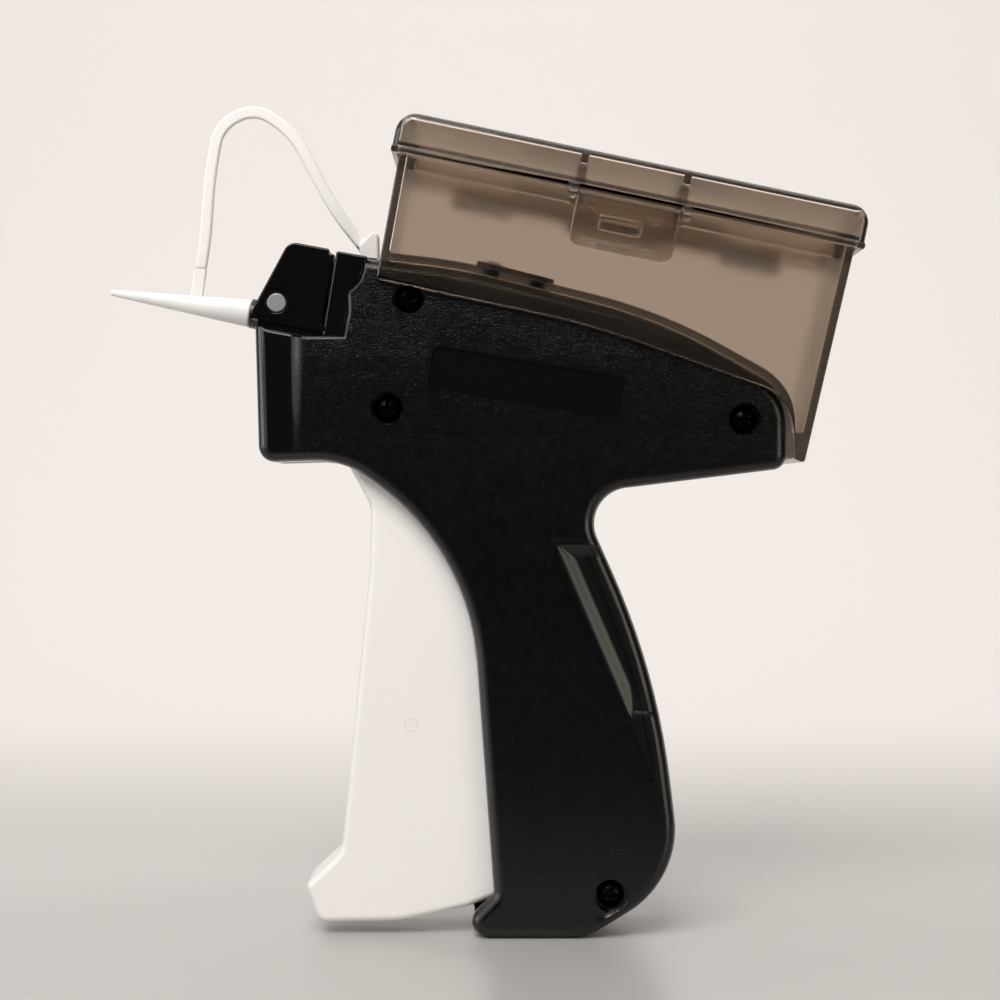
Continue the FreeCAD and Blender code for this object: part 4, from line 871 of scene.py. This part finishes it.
@dataclass
class BodyShells(SubAssembly):
    """The two moulded halves of the body and the screws that hold them together."""

    notch_edge: float = 0.7
    seam_share: float = 0.2
    seam_gap: float = 1e-3
    face: float = 12.9
    notch: tuple[float, float] = (-33.0, 108.0)
    seat_depth: float = 10.0
    heads: PanHeads = PanHeads("housing_screws_set", (2.7, 1.9), (1.4, 16.5), 1.1)
    screws: tuple[tuple[float, float], ...] = (
        (-30.4, 103.0), (-26.3, 124.5), (38.95, 100.9), (13.0, 8.5))

    def build(self, screw: NodeRecipe) -> None:
        """Build the shells and their screws.

        Args:
            screw: the recipe of a pan-head screw.
        """
        for node in ("left_shell", "right_shell"):
            mesh = moulded_copy(node)
            self.mark_edges(mesh)
            piece = self.add(mesh, self.finishes.body, "black_abs", [node])
            # the halves meet in a fine groove, and the head's notch has a soft border
            self.bevel(piece, "parting_line", self.notch_edge, "WEIGHT", False)
            piece.modifiers.move(len(piece.modifiers) - 1, 0)
        # the recipe's Z axis turned to the near side, -Y
        place = Matrix.Rotation(math.radians(90), 4, "X")
        points = [Vector((x * MM, -self.seat_depth * MM, z * MM)) for x, z in self.screws]
        mesh = self.heads.build(screw, place, points)
        self.add(mesh, self.finishes.screw, "screw_steel", ["housing_screws"])

    def mark_edges(self, mesh: bpy.types.Mesh) -> None:
        """Give a bevel weight to the edges where the halves meet and to those round the notch.

        Args:
            mesh: one half's mesh.
        """
        weights = mesh.attributes.new("bevel_weight_edge", "FLOAT", "EDGE")
        for edge in mesh.edges:
            ends = [mesh.vertices[i].co / MM for i in edge.vertices]
            if all(abs(end.y) < self.seam_gap for end in ends):
                weights.data[edge.index].value = self.seam_share
            elif all(abs(end.y) > self.face and end.x < self.notch[0] and end.z > self.notch[1]
                     for end in ends):
                weights.data[edge.index].value = 1.0


@dataclass
class Head(SubAssembly):
    """The two glossy blocks at the front, their seat and the blade between them."""

    edge: float = 0.34
    seat_edge: float = 0.25

    def build(self) -> None:
        """Build the head's pieces."""
        for node in ("nose_gate", "feed_block"):
            self.copy(node, self.finishes.gloss, "black_gloss", self.edge)
        self.copy("gate_seat", self.finishes.gloss, "black_gloss", self.seat_edge)
        self.copy("knife_blade", self.finishes.steel, "steel")


@dataclass
class NeedleSet(SubAssembly):
    """The needle in its base, the pin that locks it with its spring, and the cap on its strap."""

    strap_edge: float = 0.5
    strap: Bend = Bend("cap_body", (-37.0, 135.0), (-68.35, 131.4))
    lock_axis: tuple[float, float] = (-51.849, 123.497)
    spring_span: tuple[float, float] = (5.3, 10.72)
    coil_radius: float = 1.2
    wire: float = 0.27
    turns: float = 5.0
    pushed: float = 2.0

    def build(self, coil: NodeRecipe) -> None:
        """Build the needle's pieces.

        Args:
            coil: the recipe of a wire coil.
        """
        self.copy("needle_base", self.finishes.gloss, "black_gloss")
        self.copy("needle", self.finishes.steel, "steel")
        self.copy("needle_lock_pin", self.finishes.dull_steel, "steel")
        self.copy("needle_cap", self.finishes.white, "white_plastic")
        self.copy("cap_tether", self.finishes.white, "white_plastic", self.strap_edge, self.strap)
        # the coil's axis turned along Y
        foot, seat = (Vector((self.lock_axis[0], y, self.lock_axis[1])) * MM
                      for y in self.spring_span)
        place = Matrix.Translation(foot) @ Matrix.Rotation(math.radians(-90), 4, "X")
        length = self.spring_span[1] - self.spring_span[0]
        mesh = coil.run("lock_spring_wire", {
            "Radius": self.coil_radius * MM, "Wire": self.wire * MM, "Turns": self.turns,
            "Length": length * MM}, place, [place.translation])
        wire = self.add(mesh, self.finishes.steel, "steel", ["lock_spring"])
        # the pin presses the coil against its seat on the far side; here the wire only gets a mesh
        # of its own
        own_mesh(wire)


@dataclass
class Trigger(SubAssembly):
    """The white trigger with the marks of two ejector pins, and its drive pin."""

    edge: float = 0.2
    mark: tuple[float, float] = (-25.9, 41.2)
    mark_radius: float = 1.25
    mark_thick: float = 0.12
    mark_steps: int = 32
    half: float = 8.6

    def build(self) -> None:
        """Build the trigger's pieces."""
        body = moulded_copy("trigger")
        marks = [self.ejector_ring(side) for side in (-1, 1)]
        mesh = joined([body] + marks, "trigger_skin")
        self.add(mesh, self.finishes.white, "white_plastic", ["trigger"], self.edge)
        self.copy("drive_pin", self.finishes.steel, "steel")

    def ejector_ring(self, side: int) -> bpy.types.Mesh:
        """Build the raised ring that an ejector pin leaves on a side face.

        Args:
            side: -1 for the near side and 1 for the far side.

        Returns:
            The ring's mesh, half sunk in the face.
        """
        corners, faces = [], []
        for step in range(self.mark_steps):
            turn = 2 * math.pi * step / self.mark_steps
            for quarter in range(4):
                around = math.pi / 2 * quarter
                radius = self.mark_radius + self.mark_thick * math.cos(around)
                corners.append(Vector((
                    self.mark[0] + radius * math.cos(turn),
                    side * (self.half + self.mark_thick / 2 * math.sin(around)),
                    self.mark[1] + radius * math.sin(turn))) * MM)
                here, there = 4 * step, 4 * ((step + 1) % self.mark_steps)
                beside = (quarter + 1) % 4
                faces.append((here + quarter, here + beside, there + beside, there + quarter))
        ring = bpy.data.meshes.new("ejector_ring")
        ring.from_pydata(corners, [], faces)
        return ring


@dataclass
class Drive(SubAssembly):
    """The lever, the slide with its rod, their pins and the return spring inside the body."""

    edge: float = 0.15
    eye: tuple[float, float] = (18.24, 96.09)
    boss: tuple[float, float] = (38.95, 100.9)
    wire: float = 0.4
    coil_radius: float = 2.1
    turns: float = 9.0
    eye_ring: float = 2.0
    boss_ring: float = 3.7

    def build(self, coil: NodeRecipe) -> None:
        """Build the drive's pieces.

        Args:
            coil: the recipe of a wire coil.
        """
        for node in ("drive_lever", "ram_slide"):
            self.copy(node, self.finishes.acetal, "white_acetal", self.edge)
        for node in ("lever_pivot_pin", "slide_pin", "ejector_rod"):
            self.copy(node, self.finishes.steel, "steel")
        self.build_spring(coil)

    def build_spring(self, coil: NodeRecipe) -> None:
        """Build the coil between its two end rings; the real spring stretches when the lever turns,
        but this piece is tied to no body and stays as built.

        Args:
            coil: the recipe of a wire coil.
        """
        across = Vector((0, 1, 0))
        eye, boss = (Vector((x, 0, z)) for x, z in (self.eye, self.boss))
        along = (boss - eye).normalized()
        low = eye + along * (2 * self.eye_ring + self.wire)
        high = boss - along * (self.boss_ring + self.wire)
        parts = [
            (low, along, self.coil_radius, (high - low).length, self.turns),
            (eye + along * self.eye_ring, along.cross(across), self.eye_ring, 0.0, 1.0),
            (boss, across, self.boss_ring, 0.0, 1.0),
        ]
        meshes = []
        for foot, axis, radius, length, turns in parts:
            turned = axis.to_track_quat("Z", "Y").to_matrix().to_4x4()
            place = Matrix.Translation(foot * MM) @ turned
            meshes.append(coil.run("spring_part", {
                "Radius": radius * MM, "Wire": self.wire * MM, "Length": length * MM,
                "Turns": turns}, place, [place.translation]))
        mesh = joined(meshes, "return_spring_wire")
        # the ring on the screw's boss stays; on the real tool the eye follows the lever's arm, but
        # this piece is tied to no body and stays as built
        pull = Bend("lever_body", (high.x, high.z), (low.x, low.z))
        self.add(mesh, self.finishes.steel, "steel", ["return_spring"], bend=pull)


@dataclass
class Feed(SubAssembly):
    """The star wheel, its shaft and ratchet, and the lever that turns them."""

    edge: float = 0.1

    def build(self) -> None:
        """Build the feed's pieces."""
        for node in ("feed_wheel", "ratchet_wheel", "index_lever"):
            self.copy(node, self.finishes.acetal, "white_acetal", self.edge)
        for node in ("feed_shaft", "index_pin"):
            self.copy(node, self.finishes.steel, "steel")


@dataclass
class Hopper(SubAssembly):
    """The smoked box with its clamp plate, screws, lid, hinge pin and latch."""

    edge: float = 0.3
    slope: float = 14.04
    clamp_foot: tuple[float, float] = (-6.0, 127.4)
    lift: float = 2.44
    heads: PanHeads = PanHeads("clamp_screws_set", (2.4, 1.3), (1.4, 5.6), 0.8)
    screws: tuple[tuple[float, float], ...] = ((-5.0, -4.6), (5.0, 4.6))
    lid_slope: float = 11.77
    lid_corner: tuple[float, float] = (-29.55, 152.35)
    ribs: tuple[float, ...] = (36.9, 57.1)
    rib_half: float = 1.0
    rib_across: tuple[float, float] = (-11.15, -5.5)
    rib_high: tuple[float, float] = (-1.2, 5.45)
    catch: float = 46.1
    catch_half: float = 3.8
    catch_across: tuple[float, float] = (-13.15, -10.2)
    catch_high: tuple[float, float] = (-6.3, -4.3)

    def build(self, screw: NodeRecipe) -> None:
        """Build the hopper's pieces.

        Args:
            screw: the recipe of a pan-head screw.
        """
        for node in ("clamp_plate", "lid_latch"):
            self.copy(node, self.finishes.smoked, "smoked_plastic", self.edge)
        root = self.lid_block(self.catch, self.catch_half, self.catch_across, self.catch_high)
        ribs = [self.lid_block(along, self.rib_half, self.rib_across, self.rib_high)
                for along in self.ribs]
        for node, blocks in (("hopper_box", [root]), ("hopper_lid", ribs)):
            mesh = joined([moulded_copy(node)] + blocks, f"{node}_skin")
            self.add(mesh, self.finishes.smoked, "smoked_plastic", [node], self.edge)
        self.copy("lid_hinge_pin", self.finishes.steel, "steel")
        tilt = Matrix.Rotation(math.radians(self.slope), 4, "Y")
        foot = Vector((self.clamp_foot[0], 0, self.clamp_foot[1]))
        points = [(foot + tilt @ Vector((rearwards, across, self.lift))) * MM
                  for across, rearwards in self.screws]
        mesh = self.heads.build(screw, tilt, points)
        self.add(mesh, self.finishes.screw, "screw_steel", ["clamp_screws"])

    def lid_block(self, along: float, half: float, across: tuple[float, float],
                  high: tuple[float, float]) -> bpy.types.Mesh:
        """Build a block that stands square to the lid.

        Args:
            along: its middle along the lid in millimetres.
            half: half its length along the lid.
            across: where it starts and ends along Y.
            high: where it starts and ends above the lid's rim.

        Returns:
            The block's mesh, in the row frame.
        """
        lean = Matrix.Rotation(math.radians(self.lid_slope), 4, "Y")
        corner = Vector((self.lid_corner[0], 0, self.lid_corner[1]))
        block = bmesh.new()
        bmesh.ops.create_cube(block, size=1.0)
        for vertex in block.verts:
            place = Vector((along + half * math.copysign(1, vertex.co.x),
                            across[vertex.co.y > 0], high[vertex.co.z > 0]))
            vertex.co = (corner + lean @ place) * MM
        mesh = bpy.data.meshes.new("lid_block")
        block.to_mesh(mesh)
        block.free()
        return mesh


# ---------- studio

@dataclass(frozen=True)
class Softbox:
    """A square soft lamp: where it stands, what it points at, its side and its power."""

    name: str
    place: tuple[float, float, float]
    target: tuple[float, float, float]
    side: float
    watts: float
    colour: str = "#ffffff"
    lights_matt: bool = True

    def build(self) -> None:
        """Build the lamp."""
        data = bpy.data.lights.new(self.name, "AREA")
        data.size = self.side
        data.energy = self.watts
        data.color = linear(self.colour)[:3]
        lamp = in_scene(data, self.name)
        lamp.location = self.place
        aim = Vector(self.target) - Vector(self.place)
        lamp.rotation_euler = aim.to_track_quat("-Z", "Y").to_euler()
        lamp.visible_camera = False
        lamp.visible_diffuse = self.lights_matt


@dataclass
class Studio:
    """Plain pale sweep, soft lamps, a dim room and the camera.

    Lengths are in metres, but the spans of depth over which the paper changes in millimetres.
    """

    distance: float = 0.410
    middle: tuple[float, float] = (-0.0085, 0.08521)
    half_width: float = 0.100
    near_clip: float = 0.01
    front: float = -0.6
    back: float = 0.75
    curve: float = 0.35
    curve_steps: int = 12
    top: float = 1.6
    half_span: float = 1.6
    paper: str = "#bcbbba"
    table_rough: float = 0.3
    matt_span: tuple[float, float] = (60.0, 330.0)
    glow: str = "#fff5f1"
    lift: float = 0.48
    lift_span: tuple[float, float] = (-40.0, 430.0)
    dark: float = 0.85
    dark_span: tuple[float, float] = (-160.0, -60.0)
    room_colour: str = "#f8f2ee"
    room: float = 0.05
    room_seen: float = 0.95
    lamps: tuple[Softbox, ...] = (
        Softbox("key", (-0.2, -0.62, 0.78), (0, 0, 0.07), 0.55, 7.5, "#fffaf5"),
        Softbox("overhead", (0.1, 0.15, 0.9), (0, 0.1, 0), 0.8, 3.5, "#fffaf5"),
        Softbox("left", (-0.75, -0.4, 0.3), (0, 0, 0.08), 0.8, 2.2),
        Softbox("right", (0.62, -0.62, 0.16), (0, 0, 0.07), 0.4, 1.5, "#fffce4"),
        Softbox("left_edge", (-0.8, -0.12, 0.25), (-0.05, 0, 0.1), 0.5, 2.0, "#eef2ff", False),
    )

    def build(self) -> None:
        """Build the sweep, the room, the lamps and the camera."""
        self.build_sweep()
        self.build_room()
        for lamp in self.lamps:
            lamp.build()
        self.build_camera()

    def build_sweep(self) -> None:
        """Build the floor that curves up into a backdrop behind the tool."""
        bend = self.back - self.curve
        section = [(self.front, 0.0), (bend, 0.0)]
        for step in range(1, self.curve_steps + 1):
            turn = math.radians(90 * step / self.curve_steps)
            section.append((bend + self.curve * math.sin(turn),
                            self.curve - self.curve * math.cos(turn)))
        section.append((self.back, self.top))
        corners = [(x, y, z) for x in (-self.half_span, self.half_span) for y, z in section]
        count = len(section)
        mesh = bpy.data.meshes.new("sweep")
        mesh.from_pydata(corners, [], [
            (i, i + count, i + count + 1, i + 1) for i in range(count - 1)])
        shade_smooth(mesh)
        surface = Surface("seamless_paper", self.paper)
        # the table in front is smooth enough to mirror the tool faintly, the paper behind it matt
        surface.roughness(surface.axes()[1].ramp(*self.matt_span, self.table_rough, 1.0))
        self.light_paper(surface)
        mesh.materials.append(surface.material)
        in_scene(mesh, "sweep")

    def light_paper(self, surface: Surface) -> None:
        """Lift what is seen of the backdrop without lighting the tool.

        The front of the floor is kept dark in mirrors.

        Args:
            surface: the paper's material.
        """
        tree = surface.tree
        path = add_node(tree, "ShaderNodeLightPath").outputs
        mirrored = Signal(tree, path["Is Glossy Ray"])
        seen = Signal(tree, path["Is Camera Ray"]).math("MAXIMUM", mirrored)
        seen = seen.math("MAXIMUM", Signal(tree, path["Is Transmission Ray"]))
        depth = surface.axes()[1]
        lift = depth.ramp(*self.lift_span).eased() * seen * self.lift
        surface.shader.inputs["Emission Color"].default_value = linear(self.glow)
        tree.links.new(lift.socket, surface.shader.inputs["Emission Strength"])
        dark = depth.ramp(*self.dark_span, self.dark, 0.0) * mirrored
        paper = add_node(tree, "ShaderNodeMix", {"data_type": "RGBA"}, {
            "Factor": dark.socket, 6: linear(self.paper), 7: linear("#000000")})
        tree.links.new(paper.outputs[2], surface.shader.inputs["Base Color"])

    def build_room(self) -> None:
        """Build a dim room that the camera sees as pale, also through the smoked walls."""
        world = bpy.data.worlds.new("room")
        bpy.context.scene.world = world
        world.use_nodes = True
        tree = world.node_tree
        path = add_node(tree, "ShaderNodeLightPath").outputs
        unmirrored = Signal(tree, path["Glossy Depth"]).math("LESS_THAN", 0.5)
        through = Signal(tree, path["Is Transmission Ray"]) * unmirrored
        seen = Signal(tree, path["Is Camera Ray"]).math("MAXIMUM", through)
        background = tree.nodes["Background"].inputs
        background["Color"].default_value = linear(self.room_colour)
        strength = seen.ramp(0.0, 1.0, self.room, self.room_seen)
        tree.links.new(strength.socket, background["Strength"])

    def build_camera(self) -> None:
        """Build the camera, level with the grip and looking along +Y."""
        data = bpy.data.cameras.new("camera")
        data.sensor_fit = "HORIZONTAL"
        data.angle = 2 * math.atan(self.half_width / self.distance)
        data.clip_start = self.near_clip
        camera = in_scene(data, "camera")
        camera.location = (self.middle[0], -self.distance, self.middle[1])
        camera.rotation_euler = (math.radians(90), 0, 0)
        bpy.context.scene.camera = camera


# ---------- assembly


def main() -> None:
    """Build every sub-assembly in order, then the studio."""
    logging.basicConfig(level=logging.INFO, format="%(message)s")
    bpy.context.scene.view_settings.view_transform = "Standard"
    finishes = Finishes()
    screw = screw_recipe(finishes.screw)
    coil = coil_recipe(finishes.steel)
    BodyShells(finishes).build(screw)
    Head(finishes).build()
    NeedleSet(finishes).build(coil)
    Trigger(finishes).build()
    Drive(finishes).build(coil)
    Feed(finishes).build()
    Hopper(finishes).build(screw)
    Studio().build()


if __name__ == "__main__":
    main()
